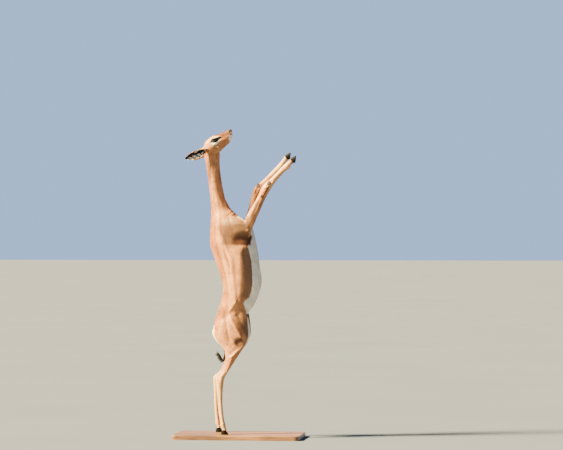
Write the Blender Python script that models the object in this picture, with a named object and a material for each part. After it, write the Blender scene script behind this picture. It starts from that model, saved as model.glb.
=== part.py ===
"""A life-size gerenuk standing upright on its hind legs, browsing with its forelegs raised.

The animal's plane of symmetry is y = 0. Its back is towards -X, its belly towards +X, its right side
towards -Y and its head up, so the side view is the XZ plane. Sizes are in metres. The origin is the
middle of the underside of the display base.
"""

import math
import random

import bmesh
import bpy
import numpy as np
from mathutils import Matrix, Vector
from mathutils.bvhtree import BVHTree

# Driving dimensions
GAP = 0.0003  # clearance that touching pieces keep
BASE_LENGTH, BASE_WIDTH, BASE_THICK = 0.84, 0.44, 0.030
BASE_CORNER, BASE_EDGE = 0.030, 0.004
HEAD_TILT = 25.0  # degrees that the line of the face rises towards the nose
EYE_RADIUS = 0.0165
EYE_PLACE = (-0.1600, 0.0360, 1.9640)
EYE_OPENING = (0.0148, 0.0100)  # half length and half height between the lids
LID_REACH, LID_THICK, LID_WIDE = 1.16, 0.0022, 0.0040
ALMOND = 0.25  # how much the opening's corners are drawn out
# Forms round the eye: forward, up and out of it, radii, and degrees turned
HEAD_FORMS = {
    "orbit": ((0.000, 0.000, 0.001), (0.0260, 0.0140, 0.0200), 0),
    "brow": ((0.000, 0.012, 0.001), (0.0230, 0.0110, 0.0080), -4),
    "cheek_bone": ((0.002, -0.015, -0.002), (0.0270, 0.0100, 0.0070), 6),
    "jaw": ((-0.014, -0.048, -0.016), (0.0380, 0.0190, 0.0300), 30),
}
LIP_RADIUS = 0.0042
MOUTH_HALF_THICK, MOUTH_DEEP, MOUTH_WIDE = 0.0006, 0.006, 0.045
NOSTRIL_PLACE = (-0.0590, 0.0190, 2.0240)
NOSTRIL_HOLE, NOSTRIL_WING = (0.0075, 0.0060, 0.0020), (0.0110, 0.0070, 0.0075)
EAR_ROOT = (-0.2160, 0.0340, 1.9060)
EAR_BUTT = (0.0270, 0.0200, 0.0220)  # the swelling of the head that the ear grows from
EAR_LENGTH, EAR_HALF_WIDTH, EAR_THICK = 0.154, 0.026, 0.0030
EAR_DROOP, EAR_SPREAD, EAR_ROLL = 26.5, 20.0, 18.0  # degrees below level, outwards, facing down
# Along the ear: how far, how wide, and degrees round the cup from its middle to its edge
EAR_SHAPE = (
    (0.00, 0.60, 160),
    (0.12, 0.68, 140),
    (0.30, 0.90, 100),
    (0.50, 1.00, 72),
    (0.70, 0.90, 58),
    (0.86, 0.60, 48),
    (0.95, 0.30, 40),
    (1.00, 0.08, 35),
)
HOOF_LENGTH, HOOF_HEIGHT, HOOF_WIDTH = 0.048, 0.030, 0.0170
# Up the hoof: how high, how far forward its toe and its heel are, and how wide
HOOF_SHAPE = (
    (0.00, 0.52, -0.46, 0.94),
    (0.12, 0.50, -0.48, 1.00),
    (0.60, 0.30, -0.46, 0.94),
    (1.00, 0.12, -0.36, 0.76),
)
HOOF_SPLIT = 0.0004  # half the gap between the two claws of a foot
TOE_NARROWS, HEEL_DROPS = 0.42, 0.12  # shares of the width and of the height
FORE_HOOF_TURN = 84.0  # degrees that the raised forefeet are turned up from standing
BODY_VOXEL, HEAD_VOXEL = 0.0045, 0.0016
BODY_TRIANGLES, HEAD_TRIANGLES = 6600, 2500
BODY_SMOOTHING, HEAD_SMOOTHING = 30, 16  # rounds
# Where the smoothing of the body fades: up the thigh, along the forearm and up the neck
THIGH_SOFTENS, FOREARM_HARDENS, NECK_HARDENS = (0.50, 0.74), (1.38, 1.50), (1.50, 1.66)
FOREARM_WAY = (0.34, 0.94)  # x and z of the direction that the forearm is measured along
LEG_SOFTNESS = 0.06
LIPS_HARDEN, EYE_SOFTENS = (-0.115, -0.085), (0.020, 0.034)

# Each station of the body is: back x, z, belly x, z, middle y, half width, and how much wider it is
# towards the back (above 0) or towards the belly (below 0).
TORSO = (
    (-0.182, 1.560, -0.084, 1.566, 0, 0.040, 0.00),  # inside the neck
    (-0.182, 1.505, -0.054, 1.512, 0, 0.050, 0.00),  # base of the neck
    (-0.187, 1.445, -0.006, 1.470, 0, 0.068, -0.05),  # withers and breast
    (-0.191, 1.395, 0.052, 1.426, 0, 0.082, -0.08),
    (-0.193, 1.345, 0.094, 1.373, 0, 0.090, -0.10),  # shoulders
    (-0.192, 1.274, 0.118, 1.276, 0, 0.097, -0.12),  # chest
    (-0.166, 1.195, 0.131, 1.202, 0, 0.100, -0.12),
    (-0.140, 1.122, 0.140, 1.122, 0, 0.103, -0.12),  # last ribs
    (-0.113, 1.043, 0.152, 1.043, 0, 0.103, -0.10),
    (-0.105, 0.984, 0.139, 0.968, 0, 0.097, -0.05),  # loin and belly
    (-0.113, 0.924, 0.104, 0.886, 0, 0.088, 0.00),  # flank
    (-0.130, 0.872, 0.060, 0.823, 0, 0.084, 0.10),
    (-0.149, 0.812, 0.013, 0.753, 0, 0.078, 0.15),  # pelvis
    (-0.166, 0.746, -0.034, 0.690, 0, 0.066, 0.15),
    (-0.170, 0.694, -0.090, 0.652, 0, 0.045, 0.10),  # seat bones
    (-0.158, 0.664, -0.128, 0.648, 0, 0.020, 0.00),
)
NECK = (
    (-0.218, 1.925, -0.140, 1.922, 0, 0.030, 0.00),  # inside the head
    (-0.232, 1.876, -0.127, 1.880, 0, 0.036, 0.05),  # throat
    (-0.223, 1.815, -0.128, 1.815, 0, 0.035, 0.00),
    (-0.210, 1.736, -0.121, 1.736, 0, 0.035, 0.00),
    (-0.199, 1.657, -0.108, 1.657, 0, 0.037, 0.00),
    (-0.191, 1.584, -0.091, 1.581, 0, 0.041, 0.00),
    (-0.186, 1.525, -0.067, 1.522, 0, 0.047, 0.00),
    (-0.185, 1.465, -0.030, 1.470, 0, 0.058, 0.00),
    (-0.178, 1.400, 0.000, 1.420, 0, 0.060, 0.00),  # inside the chest
)
HEAD = (
    (-0.0470, 2.0340, -0.0440, 2.0120, 0, 0.0090, 0.00),  # nose
    (-0.0540, 2.0395, -0.0470, 1.9800, 0, 0.0205, 0.00),
    (-0.0690, 2.0360, -0.0560, 1.9600, 0, 0.0240, 0.02),
    (-0.0890, 2.0270, -0.0705, 1.9410, 0, 0.0250, 0.06),
    (-0.1160, 2.0150, -0.0900, 1.9245, 0, 0.0290, 0.12),
    (-0.1420, 2.0040, -0.1060, 1.9100, 0, 0.0375, 0.22),
    (-0.1700, 1.9960, -0.1190, 1.8970, 0, 0.0465, 0.30),  # eyes
    (-0.1960, 1.9830, -0.1340, 1.8850, 0, 0.0470, 0.25),
    (-0.2190, 1.9620, -0.1510, 1.8710, 0, 0.0440, 0.15),
    (-0.2330, 1.9350, -0.1640, 1.8570, 0, 0.0400, 0.05),  # poll
    (-0.2360, 1.9000, -0.1710, 1.8350, 0, 0.0350, 0.00),  # inside the neck
)
# The right legs. Stations run from the body to the coronet, where the hooves start.
SHOULDER = (
    (-0.160, 1.400, -0.150, 1.300, -0.050, 0.014, 0),  # top of the shoulder blade
    (-0.120, 1.440, -0.090, 1.290, -0.058, 0.026, 0),
    (-0.050, 1.460, -0.010, 1.290, -0.064, 0.034, 0),
    (0.010, 1.452, 0.040, 1.310, -0.070, 0.034, 0),
    (0.040, 1.425, 0.080, 1.340, -0.072, 0.030, 0),
    (0.062, 1.400, 0.088, 1.372, -0.074, 0.020, 0),  # elbow
)
FORELEG = (
    (0.024, 1.400, 0.082, 1.350, -0.070, 0.030, 0),  # inside the elbow
    (0.050, 1.448, 0.110, 1.404, -0.074, 0.029, 0),
    (0.069, 1.485, 0.131, 1.455, -0.075, 0.026, 0),  # forearm
    (0.097, 1.530, 0.152, 1.502, -0.074, 0.0235, 0),
    (0.124, 1.574, 0.171, 1.551, -0.072, 0.0205, 0),
    (0.144, 1.615, 0.191, 1.591, -0.070, 0.0190, 0),
    (0.161, 1.656, 0.212, 1.627, -0.068, 0.0205, 0),  # knee
    (0.189, 1.687, 0.230, 1.656, -0.066, 0.0190, 0),
    (0.218, 1.711, 0.248, 1.682, -0.064, 0.0145, 0),
    (0.252, 1.745, 0.277, 1.717, -0.061, 0.0125, 0),  # cannon
    (0.288, 1.783, 0.313, 1.755, -0.058, 0.0130, 0),
    (0.311, 1.806, 0.338, 1.775, -0.056, 0.0160, 0),  # fetlock
    (0.333, 1.825, 0.354, 1.801, -0.054, 0.0140, 0),  # pastern
    (0.347, 1.842, 0.373, 1.814, -0.052, 0.0165, 0),  # coronet
)
HIND_LEG = (
    (-0.010, 0.891, -0.152, 0.766, -0.040, 0.030, 0),  # inside the hip
    (0.040, 0.872, -0.158, 0.714, -0.048, 0.044, 0),
    (0.061, 0.806, -0.152, 0.666, -0.054, 0.050, 0),  # thigh
    (0.070, 0.740, -0.132, 0.633, -0.059, 0.050, 0),
    (0.072, 0.680, -0.108, 0.601, -0.065, 0.046, 0),  # stifle
    (0.057, 0.624, -0.090, 0.565, -0.072, 0.038, 0),
    (0.026, 0.575, -0.080, 0.532, -0.079, 0.031, 0),  # gaskin
    (-0.006, 0.525, -0.086, 0.500, -0.084, 0.0255, 0),
    (-0.035, 0.479, -0.094, 0.468, -0.088, 0.0205, 0),
    (-0.062, 0.436, -0.106, 0.436, -0.091, 0.0185, 0),
    (-0.083, 0.396, -0.140, 0.402, -0.094, 0.0210, 0),  # hock
    (-0.090, 0.357, -0.138, 0.366, -0.096, 0.0190, 0),
    (-0.094, 0.310, -0.133, 0.314, -0.098, 0.0150, 0),
    (-0.095, 0.238, -0.127, 0.238, -0.102, 0.0135, 0),  # cannon
    (-0.090, 0.172, -0.119, 0.168, -0.105, 0.0135, 0),
    (-0.083, 0.126, -0.111, 0.122, -0.107, 0.0150, 0),
    (-0.074, 0.096, -0.108, 0.092, -0.109, 0.0175, 0),  # fetlock
    (-0.071, 0.073, -0.096, 0.066, -0.110, 0.0150, 0),  # pastern
    (-0.065, 0.057, -0.098, 0.050, -0.110, 0.0170, 0),  # coronet
)
# The left legs are the right ones mirrored, with their stations moved: height or station, dx, dz.
LEFT_HIND_SHIFT = ((0.03, -0.071), (0.10, -0.064), (0.39, -0.046), (0.66, 0.0))
LEFT_FORE_SHIFT = (
    (0, -0.010, 0.000),
    (1, -0.021, 0.000),
    (2, -0.027, 0.000),
    (3, -0.042, 0.000),
    (4, -0.059, 0.000),
    (5, -0.068, 0.000),
    (8, -0.064, -0.005),
    (11, -0.058, -0.002),
    (13, -0.048, 0.024),
)
# The tail: x, y, z of its middle, and its radius
TAIL = (
    (-0.146, 0.000, 0.735, 0.0150),
    (-0.164, 0.000, 0.700, 0.0135),
    (-0.157, 0.000, 0.664, 0.0095),
    (-0.137, 0.000, 0.632, 0.0070),
    (-0.113, 0.000, 0.610, 0.0062),
    (-0.098, 0.002, 0.580, 0.0060),
    (-0.093, 0.004, 0.546, 0.0062),
    (-0.097, 0.005, 0.522, 0.0068),
    (-0.108, 0.006, 0.514, 0.0090),
    (-0.123, 0.006, 0.527, 0.0105),
    (-0.136, 0.006, 0.545, 0.0050),
)
# The line of the mouth: x, z, and how far out the lips are, from the nose to the corner
MOUTH = (
    (-0.0400, 2.0060, 0.0030),
    (-0.0480, 2.0035, 0.0130),
    (-0.0570, 1.9995, 0.0205),
    (-0.0680, 1.9925, 0.0230),
    (-0.0800, 1.9810, 0.0240),
    (-0.0930, 1.9670, 0.0262),
)
# Locks of longer hair: how many, and the least and the greatest length and width
TAIL_LOCKS, TAIL_LOCK_LENGTH = 16, (0.026, 0.042)
KNEE_LOCKS, KNEE_LOCK_LENGTH = 11, (0.020, 0.031)
LOCK_WIDTH, TAIL_LOCK_THICK, KNEE_LOCK_THICK = (0.006, 0.009), 0.0022, 0.0026
TAIL_BRUSH_FROM = 12  # the row of the smoothed tail where its brush starts
# Thin cuts that part the body: both ends x, z, and from which y to which y
HEAD_CUT = ((-0.2600, 1.8620), (-0.0900, 1.8920))
HIP_CUT = ((0.1150, 0.8150), (-0.2200, 0.6860))
CUTS = {
    "neck": ((-0.2300, 1.4690), (-0.0200, 1.5230), -0.12, 0.12),
    "elbow_right": ((0.0380, 1.4680), (0.1400, 1.4270), -0.14, -0.02),
    "elbow_left": ((0.0120, 1.4780), (0.1150, 1.4370), 0.02, 0.14),
    "knee_right": ((0.1200, 1.7080), (0.2350, 1.5930), -0.12, 0.00),
    "knee_left": ((0.0500, 1.7140), (0.1650, 1.5990), 0.00, 0.12),
    "hip": (*HIP_CUT, -0.20, 0.20),
    "hock_right": ((-0.1700, 0.3720), (-0.0500, 0.3700), -0.20, 0.00),
    "hock_left": ((-0.2200, 0.3720), (-0.1000, 0.3700), 0.00, 0.20),
}
# Where the middle of each piece of the cut body is
BODY_PIECES = {
    "neck": (-0.160, 0.000, 1.700),
    "torso": (-0.030, 0.000, 1.150),
    "foreleg_right": (0.120, -0.072, 1.550),
    "foreleg_left": (0.070, 0.072, 1.550),
    "fore_cannon_right": (0.260, -0.060, 1.740),
    "fore_cannon_left": (0.210, 0.060, 1.750),
    "hind_leg_right": (-0.040, -0.070, 0.600),
    "hind_leg_left": (-0.050, 0.070, 0.600),
    "hind_cannon_right": (-0.110, -0.100, 0.200),
    "hind_cannon_left": (-0.160, 0.100, 0.200),
}
# Where the tuft of a knee starts and ends, and how far round from the front to the outside it sits
KNEE_TUFT = {-1: ((0.1620, 1.6060), (0.2180, 1.6760)), 1: ((0.1000, 1.6250), (0.1450, 1.6720))}
KNEE_TUFT_TURN = {-1: 70, 1: 15}
KNEE_MIDDLE = 0.067  # how far the middle of a knee is from the animal's middle
# Dew claws: middle of each pair, radii and degrees turned
DEW_CLAW_APART = 0.009
DEW_CLAWS = (
    ((-0.107, -0.109, 0.090), (0.0070, 0.0050, 0.0085), 20),
    ((-0.172, 0.109, 0.090), (0.0070, 0.0050, 0.0085), 20),
    ((0.341, -0.056, 1.781), (0.0085, 0.0050, 0.0070), -40),
    ((0.283, 0.056, 1.778), (0.0085, 0.0050, 0.0070), -40),
)
HOOF_PLACES = {
    ("hind", "right"): (-0.0800, -0.1100, BASE_THICK + GAP),
    ("hind", "left"): (-0.1480, 0.1100, BASE_THICK + GAP),
    ("fore", "right"): (0.3820, -0.0515, 1.8360),
    ("fore", "left"): (0.3340, 0.0515, 1.8600),
}
FINISHES = {
    "short_coat": ((0.50, 0.30, 0.16), 0.6),
    "eye": ((0.01, 0.008, 0.006), 0.15),
    "hoof": ((0.05, 0.045, 0.04), 0.45),
    "stand_wood": ((0.22, 0.12, 0.06), 0.5),
}


def clear_scene():
    for obj in list(bpy.data.objects):
        bpy.data.objects.remove(obj, do_unlink=True)


def slot_of(name):
    """Which finish a node has."""
    first = name.split("_")[0]
    return {"eye": "eye", "hoof": "hoof", "stand": "stand_wood"}.get(first, "short_coat")


def material(name, colour, roughness):
    made = bpy.data.materials.new(name)
    made.use_nodes = True
    shader = made.node_tree.nodes["Principled BSDF"]
    shader.inputs["Base Color"].default_value = (*colour, 1)
    shader.inputs["Roughness"].default_value = roughness
    shader.inputs["Metallic"].default_value = 0
    return made


def new_object(name, points, faces):
    """A mesh object from points and faces, with its faces made to point outwards."""
    mesh = bpy.data.meshes.new(name)
    mesh.from_pydata([tuple(p) for p in points], [], faces)
    work = bmesh.new()
    work.from_mesh(mesh)
    bmesh.ops.recalc_face_normals(work, faces=work.faces)
    work.to_mesh(mesh)
    work.free()
    obj = bpy.data.objects.new(name, mesh)
    bpy.context.scene.collection.objects.link(obj)
    return obj


def baked(obj):
    """Replaces an object's mesh by what its modifiers make of it."""
    bpy.context.view_layer.update()
    graph = bpy.context.evaluated_depsgraph_get()
    mesh = bpy.data.meshes.new_from_object(obj.evaluated_get(graph))
    obj.modifiers.clear()
    obj.data = mesh
    return obj


def smooth_rows(rows, steps):
    """More rows, read from a Catmull-Rom curve through the given ones."""
    rows = np.array(rows, float)
    ends = [2 * rows[0] - rows[1]], [2 * rows[-1] - rows[-2]]
    held = np.vstack([ends[0], rows, ends[1]])
    made = []
    for a, b, c, d in zip(held, held[1:], held[2:], held[3:]):
        for t in np.arange(steps) / steps:
            curve = 2 * b + (c - a) * t + (2 * a - 5 * b + 4 * c - d) * t**2
            made.append((curve + (3 * b - a - 3 * c + d) * t**3) / 2)
    made.append(rows[-1])
    return np.array(made)


def loft(name, stations, steps=4, around=28, square=2.2):
    """A closed skin over stations. Each ring is an oval between its back and belly points."""
    rings = []
    for back_x, back_z, belly_x, belly_z, y, half, egg in smooth_rows(stations, steps):
        for angle in np.arange(around) * 2 * math.pi / around:
            along, side = math.cos(angle), math.sin(angle)
            side = math.copysign(abs(side) ** (2 / square), side)
            share = (1 + along) / 2
            rings.append(
                (
                    belly_x + (back_x - belly_x) * share,
                    y + half * side * (1 + egg * along),
                    belly_z + (back_z - belly_z) * share,
                )
            )
    return ringed(name, rings, around)


def ringed(name, points, around):
    """A closed mesh over equal rings of points, with both ends capped."""
    count = len(points) // around
    faces = []
    for r in range(count - 1):
        for k in range(around):
            a, b = r * around + k, r * around + (k + 1) % around
            faces.append((a, b, b + around, a + around))
    faces.append(tuple(range(around)))
    faces.append(tuple(range((count - 1) * around, count * around)))
    return new_object(name, points, faces)


def tube(name, rows, steps=4, around=12):
    """A round tube along x, y, z, radius rows."""
    rows = smooth_rows(rows, steps)
    middles = rows[:, :3]
    ways = np.gradient(middles, axis=0)
    points = []
    for middle, way, radius in zip(middles, ways, rows[:, 3]):
        way = Vector(way).normalized()
        side = way.cross(Vector((0, 1, 0)))
        side = (side if side.length > 0.3 else way.cross(Vector((1, 0, 0)))).normalized()
        other = way.cross(side)
        for angle in np.arange(around) * 2 * math.pi / around:
            off = side * math.cos(angle) + other * math.sin(angle)
            points.append(Vector(middle) + off * radius)
    return ringed(name, points, around)


def ellipsoid(name, centre, radii, turn=0.0, detail=3):
    """An ellipsoid, turned about Y by an angle in degrees."""
    mesh = bpy.data.meshes.new(name)
    work = bmesh.new()
    bmesh.ops.create_icosphere(work, subdivisions=detail, radius=1)
    place = Matrix.Translation(centre) @ Matrix.Rotation(math.radians(turn), 4, "Y")
    bmesh.ops.transform(work, matrix=place @ Matrix.Diagonal((*radii, 1)), verts=work.verts)
    work.to_mesh(mesh)
    work.free()
    obj = bpy.data.objects.new(name, mesh)
    bpy.context.scene.collection.objects.link(obj)
    return obj


def joined(name, pieces):
    """One object holding the meshes of several, which are removed."""
    work = bmesh.new()
    for piece in pieces:
        work.from_mesh(piece.data)
        bpy.data.objects.remove(piece, do_unlink=True)
    mesh = bpy.data.meshes.new(name)
    work.to_mesh(mesh)
    work.free()
    obj = bpy.data.objects.new(name, mesh)
    bpy.context.scene.collection.objects.link(obj)
    return obj


def fused(name, pieces, voxel):
    """One closed surface round overlapping pieces."""
    obj = joined(name, pieces)
    remesh = obj.modifiers.new("Remesh", "REMESH")
    remesh.mode = "VOXEL"
    remesh.voxel_size = voxel
    return baked(obj)


def relaxed(obj, softness, repeat):
    """Smooths a mesh where softness, a function of a point, is above 0."""
    group = obj.vertex_groups.new(name="soft")
    for vertex in obj.data.vertices:
        group.add([vertex.index], softness(vertex.co), "REPLACE")
    smooth = obj.modifiers.new("Smooth", "SMOOTH")
    smooth.factor = 0.5
    smooth.iterations = repeat
    smooth.vertex_group = group.name
    return baked(obj)


def thinned(obj, triangles):
    """The same shape with about this many triangles."""
    obj.data.calc_loop_triangles()
    decimate = obj.modifiers.new("Decimate", "DECIMATE")
    decimate.ratio = triangles / len(obj.data.loop_triangles)
    return baked(obj)


def in_triangles(obj):
    """Splits the faces of a mesh into triangles, which stay flat when they are cut."""
    work = bmesh.new()
    work.from_mesh(obj.data)
    bmesh.ops.triangulate(work, faces=work.faces)
    work.to_mesh(obj.data)
    work.free()


def combined(obj, others, operation):
    """obj with others joined to it or cut from it. The others are removed."""
    tools = bpy.data.collections.new("tools")
    bpy.context.scene.collection.children.link(tools)
    in_triangles(obj)
    for other in others:
        in_triangles(other)
        tools.objects.link(other)
    boolean = obj.modifiers.new("Boolean", "BOOLEAN")
    boolean.operand_type = "COLLECTION"
    boolean.collection = tools
    boolean.operation = operation
    boolean.solver = "EXACT"
    baked(obj)
    for other in others:
        bpy.data.objects.remove(other, do_unlink=True)
    bpy.data.collections.remove(tools)
    return obj


def grown_copy(obj, by):
    """A copy of obj that stands proud of it by a distance."""
    copy = bpy.data.objects.new(obj.name + "_grown", obj.data.copy())
    bpy.context.scene.collection.objects.link(copy)
    normals = [v.normal.copy() for v in copy.data.vertices]
    for vertex, normal in zip(copy.data.vertices, normals):
        vertex.co += normal * by
    return copy


def cut_clear(obj, neighbours):
    """Cuts a piece back from its neighbours, so that the usual gap is left."""
    return combined(obj, [grown_copy(n, GAP) for n in neighbours], "DIFFERENCE")


def prism(name, outline, y_from, y_to):
    """A shape drawn in the side view and given thickness across it."""
    count = len(outline)
    points = [(x, y, z) for y in (y_from, y_to) for x, z in outline]
    faces = [(k, (k + 1) % count, (k + 1) % count + count, k + count) for k in range(count)]
    faces.append(tuple(range(count)))
    faces.append(tuple(range(count, 2 * count)))
    return new_object(name, points, faces)


def slab(name, start, end, y_from, y_to):
    """A cutter as thin as the gap, standing across the side view from start to end."""
    along = Vector((end[0] - start[0], end[1] - start[1])).normalized()
    across = Vector((-along.y, along.x)) * (GAP / 2)
    outline = [Vector(start) - across, Vector(end) - across, Vector(end) + across, Vector(start) + across]
    return prism(name, [tuple(p) for p in outline], y_from, y_to)


def loose_pieces(obj):
    """The separate closed surfaces of a mesh, each as its own object, largest first."""
    work = bmesh.new()
    work.from_mesh(obj.data)
    work.verts.ensure_lookup_table()
    left, found = set(work.verts), []
    while left:
        island, todo = set(), [left.pop()]
        while todo:
            vertex = todo.pop()
            island.add(vertex)
            for edge in vertex.link_edges:
                other = edge.other_vert(vertex)
                if other in left:
                    left.discard(other)
                    todo.append(other)
        found.append(island)
    pieces = []
    for island in sorted(found, key=len, reverse=True):
        order = {v: i for i, v in enumerate(island)}
        faces = [[order[v] for v in f.verts] for f in work.faces if f.verts[0] in order]
        pieces.append(new_object("piece", [v.co for v in island], faces))
    work.free()
    bpy.data.objects.remove(obj, do_unlink=True)
    return pieces


def named_pieces(obj, places):
    """Parts a cut mesh into named objects: each name takes the piece nearest to its place."""
    pieces = loose_pieces(obj)[: len(places)]
    middles = [sum((v.co for v in p.data.vertices), Vector()) / len(p.data.vertices) for p in pieces]
    made = {}
    for name, place in places.items():
        gaps = [(m - Vector(place)).length for m in middles]
        piece = pieces[gaps.index(min(gaps))]
        piece.name = piece.data.name = name
        made[name] = piece
    return made


def mirrored(stations):
    return [(*s[:4], -s[4], *s[5:]) for s in stations]


def left_hind_leg():
    heights = [h for h, dx in LEFT_HIND_SHIFT]
    shifts = [dx for h, dx in LEFT_HIND_SHIFT]
    made = []
    for back_x, back_z, belly_x, belly_z, *rest in mirrored(HIND_LEG):
        dx = float(np.interp((back_z + belly_z) / 2, heights, shifts))
        made.append((back_x + dx, back_z, belly_x + dx, belly_z, *rest))
    return made


def left_foreleg():
    at, dxs, dzs = zip(*LEFT_FORE_SHIFT)
    made = []
    for i, (back_x, back_z, belly_x, belly_z, *rest) in enumerate(mirrored(FORELEG)):
        dx, dz = float(np.interp(i, at, dxs)), float(np.interp(i, at, dzs))
        made.append((back_x + dx, back_z + dz, belly_x + dx, belly_z + dz, *rest))
    return made


def step_between(value, low, high):
    """0 below low, 1 above high, and a smooth ramp between."""
    t = min(1.0, max(0.0, (value - low) / (high - low)))
    return t * t * (3 - 2 * t)


def body_softness(point):
    """How much a point of the body is smoothed: most on the trunk, least on the thin legs."""
    along_forearm = FOREARM_WAY[1] * point.z + FOREARM_WAY[0] * point.x
    hind = step_between(point.z, *THIGH_SOFTENS)
    fore = 1 - step_between(along_forearm, *FOREARM_HARDENS)
    neck = 1 - step_between(point.z, *NECK_HARDENS)
    trunk = fore if point.x > 0.0 else neck
    return LEG_SOFTNESS + (1 - LEG_SOFTNESS) * min(hind, trunk)


def largest(obj):
    """obj with only its largest closed surface kept."""
    name = obj.name
    pieces = loose_pieces(obj)
    for piece in pieces[1:]:
        bpy.data.objects.remove(piece, do_unlink=True)
    pieces[0].name = pieces[0].data.name = name
    return pieces[0]


def from_point(place, forward=0.0, up=0.0, out=0.0):
    """A point moved from place along the face, across it and to the side."""
    tilt = math.radians(HEAD_TILT)
    x = place[0] + forward * math.cos(tilt) - up * math.sin(tilt)
    z = place[2] + forward * math.sin(tilt) + up * math.cos(tilt)
    return Vector((x, place[1] + out, z))


def lid_ring(side):
    """The lids: a flattened ring round the almond-shaped opening, lying on the eyeball."""
    count, around = 26, 6
    points = []
    for angle in np.arange(count) * 2 * math.pi / count:
        u = EYE_OPENING[0] * LID_REACH * math.cos(angle)
        v = EYE_OPENING[1] * LID_REACH * math.sin(angle) * (1 - ALMOND * math.cos(angle) ** 2)
        depth = math.sqrt(EYE_RADIUS**2 - min(u**2 + v**2, (0.9 * EYE_RADIUS) ** 2))
        outward = from_point((0, 0, 0), u, v, depth).normalized()
        run = from_point((0, 0, 0), -math.sin(angle) * 1.5, math.cos(angle))
        across = outward.cross(run).normalized()
        middle = from_point(EYE_PLACE, u, v, depth)
        for turn in np.arange(around) * 2 * math.pi / around:
            rise, reach = LID_THICK * math.cos(turn), LID_WIDE * math.sin(turn)
            point = middle + outward * rise + across * reach
            points.append((point.x, side * point.y, point.z))
    faces = []
    for k in range(count):
        for j in range(around):
            a, b = k * around + j, k * around + (j + 1) % around
            c, d = (k + 1) % count * around + (j + 1) % around, (k + 1) % count * around + j
            faces.append((a, b, c, d))
    return new_object("lid", points, faces)


def lid_cutter(side):
    """The almond-shaped hole between the lids."""
    count = 28
    points = []
    for depth in (0.006, 0.040):
        for angle in np.arange(count) * 2 * math.pi / count:
            u = EYE_OPENING[0] * math.cos(angle)
            v = EYE_OPENING[1] * math.sin(angle) * (1 - ALMOND * math.cos(angle) ** 2)
            x, y, z = from_point(EYE_PLACE, u, v, depth)
            points.append((x, side * y, z))
    return ringed("opening", points, count)


def mouth_cutter():
    """A thin curved plate along the line of the mouth, open in the middle where the jaws join."""
    rows = smooth_rows(MOUTH, 3)
    ways = np.gradient(rows[:, :2], axis=0)
    points, faces = [], []
    for (x, z, out), way in zip(rows, ways):
        across = Vector((-way[1], way[0])).normalized() * MOUTH_HALF_THICK
        inside = max(out - MOUTH_DEEP, 0)
        for y in (-MOUTH_WIDE, -inside, inside, MOUTH_WIDE):
            points.append((x - across.x, y, z - across.y))
            points.append((x + across.x, y, z + across.y))
    open_rows = [k for k, row in enumerate(rows) if row[2] > MOUTH_DEEP + GAP / 2]
    first = open_rows[0]
    for k in range(len(rows) - 1):
        for j in (0, 1, 2):
            if j == 1 and k >= first:
                continue
            a, b = 8 * k + 2 * j, 8 * k + 2 * j + 2
            faces.append((a, b, b + 8, a + 8))
            faces.append((a + 1, b + 1, b + 9, a + 9))
            if k == 0:
                faces.append((a, b, b + 1, a + 1))
            if k == len(rows) - 2:
                faces.append((a + 8, b + 8, b + 9, a + 9))
        edges = (0, 6) if k < first else (0, 2, 4, 6)
        for e in edges:
            a = 8 * k + e
            faces.append((a, a + 1, a + 9, a + 8))
    a = 8 * first
    faces.append((a + 2, a + 4, a + 5, a + 3))
    return new_object("mouth", points, faces)


def head_softness(point):
    """How much a point of the head is smoothed: least on the brows and lips."""
    near_eye = (Vector((point.x, abs(point.y), point.z)) - Vector(EYE_PLACE)).length
    lips = step_between(point.x, *LIPS_HARDEN)
    return 0.15 + (0.40 + 0.45 * step_between(near_eye, *EYE_SOFTENS)) * (1 - lips)


def make_head():
    """The head, with lids, lips, nostrils and the sockets of the eyes."""
    pieces = [loft("skull", HEAD, around=40, square=2.3), loft("throat", NECK[:4], around=32)]
    for side in (-1, 1):
        eye = (EYE_PLACE[0], side * EYE_PLACE[1], EYE_PLACE[2])
        for name, ((forward, up, out), radii, turn) in HEAD_FORMS.items():
            centre = from_point(eye, forward, up, side * out)
            pieces.append(ellipsoid(name, centre, radii, -HEAD_TILT - turn))
        for lift in (LIP_RADIUS, -LIP_RADIUS):
            rows = []
            for x, z, y in MOUTH[1:-1]:
                rows.append((x + lift * 0.4, side * (y - 0.0022), z + lift, LIP_RADIUS))
            x, z, y = MOUTH[-1]
            rows.append((x + lift * 0.2, side * (y - 0.0040), z + lift * 0.5, 0.0020))
            pieces.append(tube("lip", rows, 3, 10))
        wing = (NOSTRIL_PLACE[0], side * (NOSTRIL_PLACE[1] - 0.007), NOSTRIL_PLACE[2] - 0.001)
        pieces.append(ellipsoid("nostril_wing", wing, NOSTRIL_WING, -40))
        root = (EAR_ROOT[0] - 0.004, side * (EAR_ROOT[1] - 0.012), EAR_ROOT[2] + 0.002)
        pieces.append(ellipsoid("ear_root", root, EAR_BUTT, -30))
    head = relaxed(fused("head", pieces, HEAD_VOXEL), head_softness, HEAD_SMOOTHING)
    head = thinned(head, HEAD_TRIANGLES)
    head = combined(head, [lid_ring(-1), lid_ring(1)], "UNION")
    outline = [*HEAD_CUT, (-0.05, 1.70), (-0.30, 1.70)]
    cutters = [prism("below", outline, -0.2, 0.2), mouth_cutter()]
    for side in (-1, 1):
        x, y, z = EYE_PLACE
        cutters.append(ellipsoid("socket", (x, side * y, z), [EYE_RADIUS + GAP] * 3))
        cutters.append(lid_cutter(side))
        x, y, z = NOSTRIL_PLACE
        cutters.append(ellipsoid("nostril", (x, side * y, z), NOSTRIL_HOLE, -50, 2))
    return combined(head, cutters, "DIFFERENCE")


def make_eye(name, side):
    x, y, z = EYE_PLACE
    return ellipsoid(name, (x, side * y, z), [EYE_RADIUS] * 3)


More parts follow.
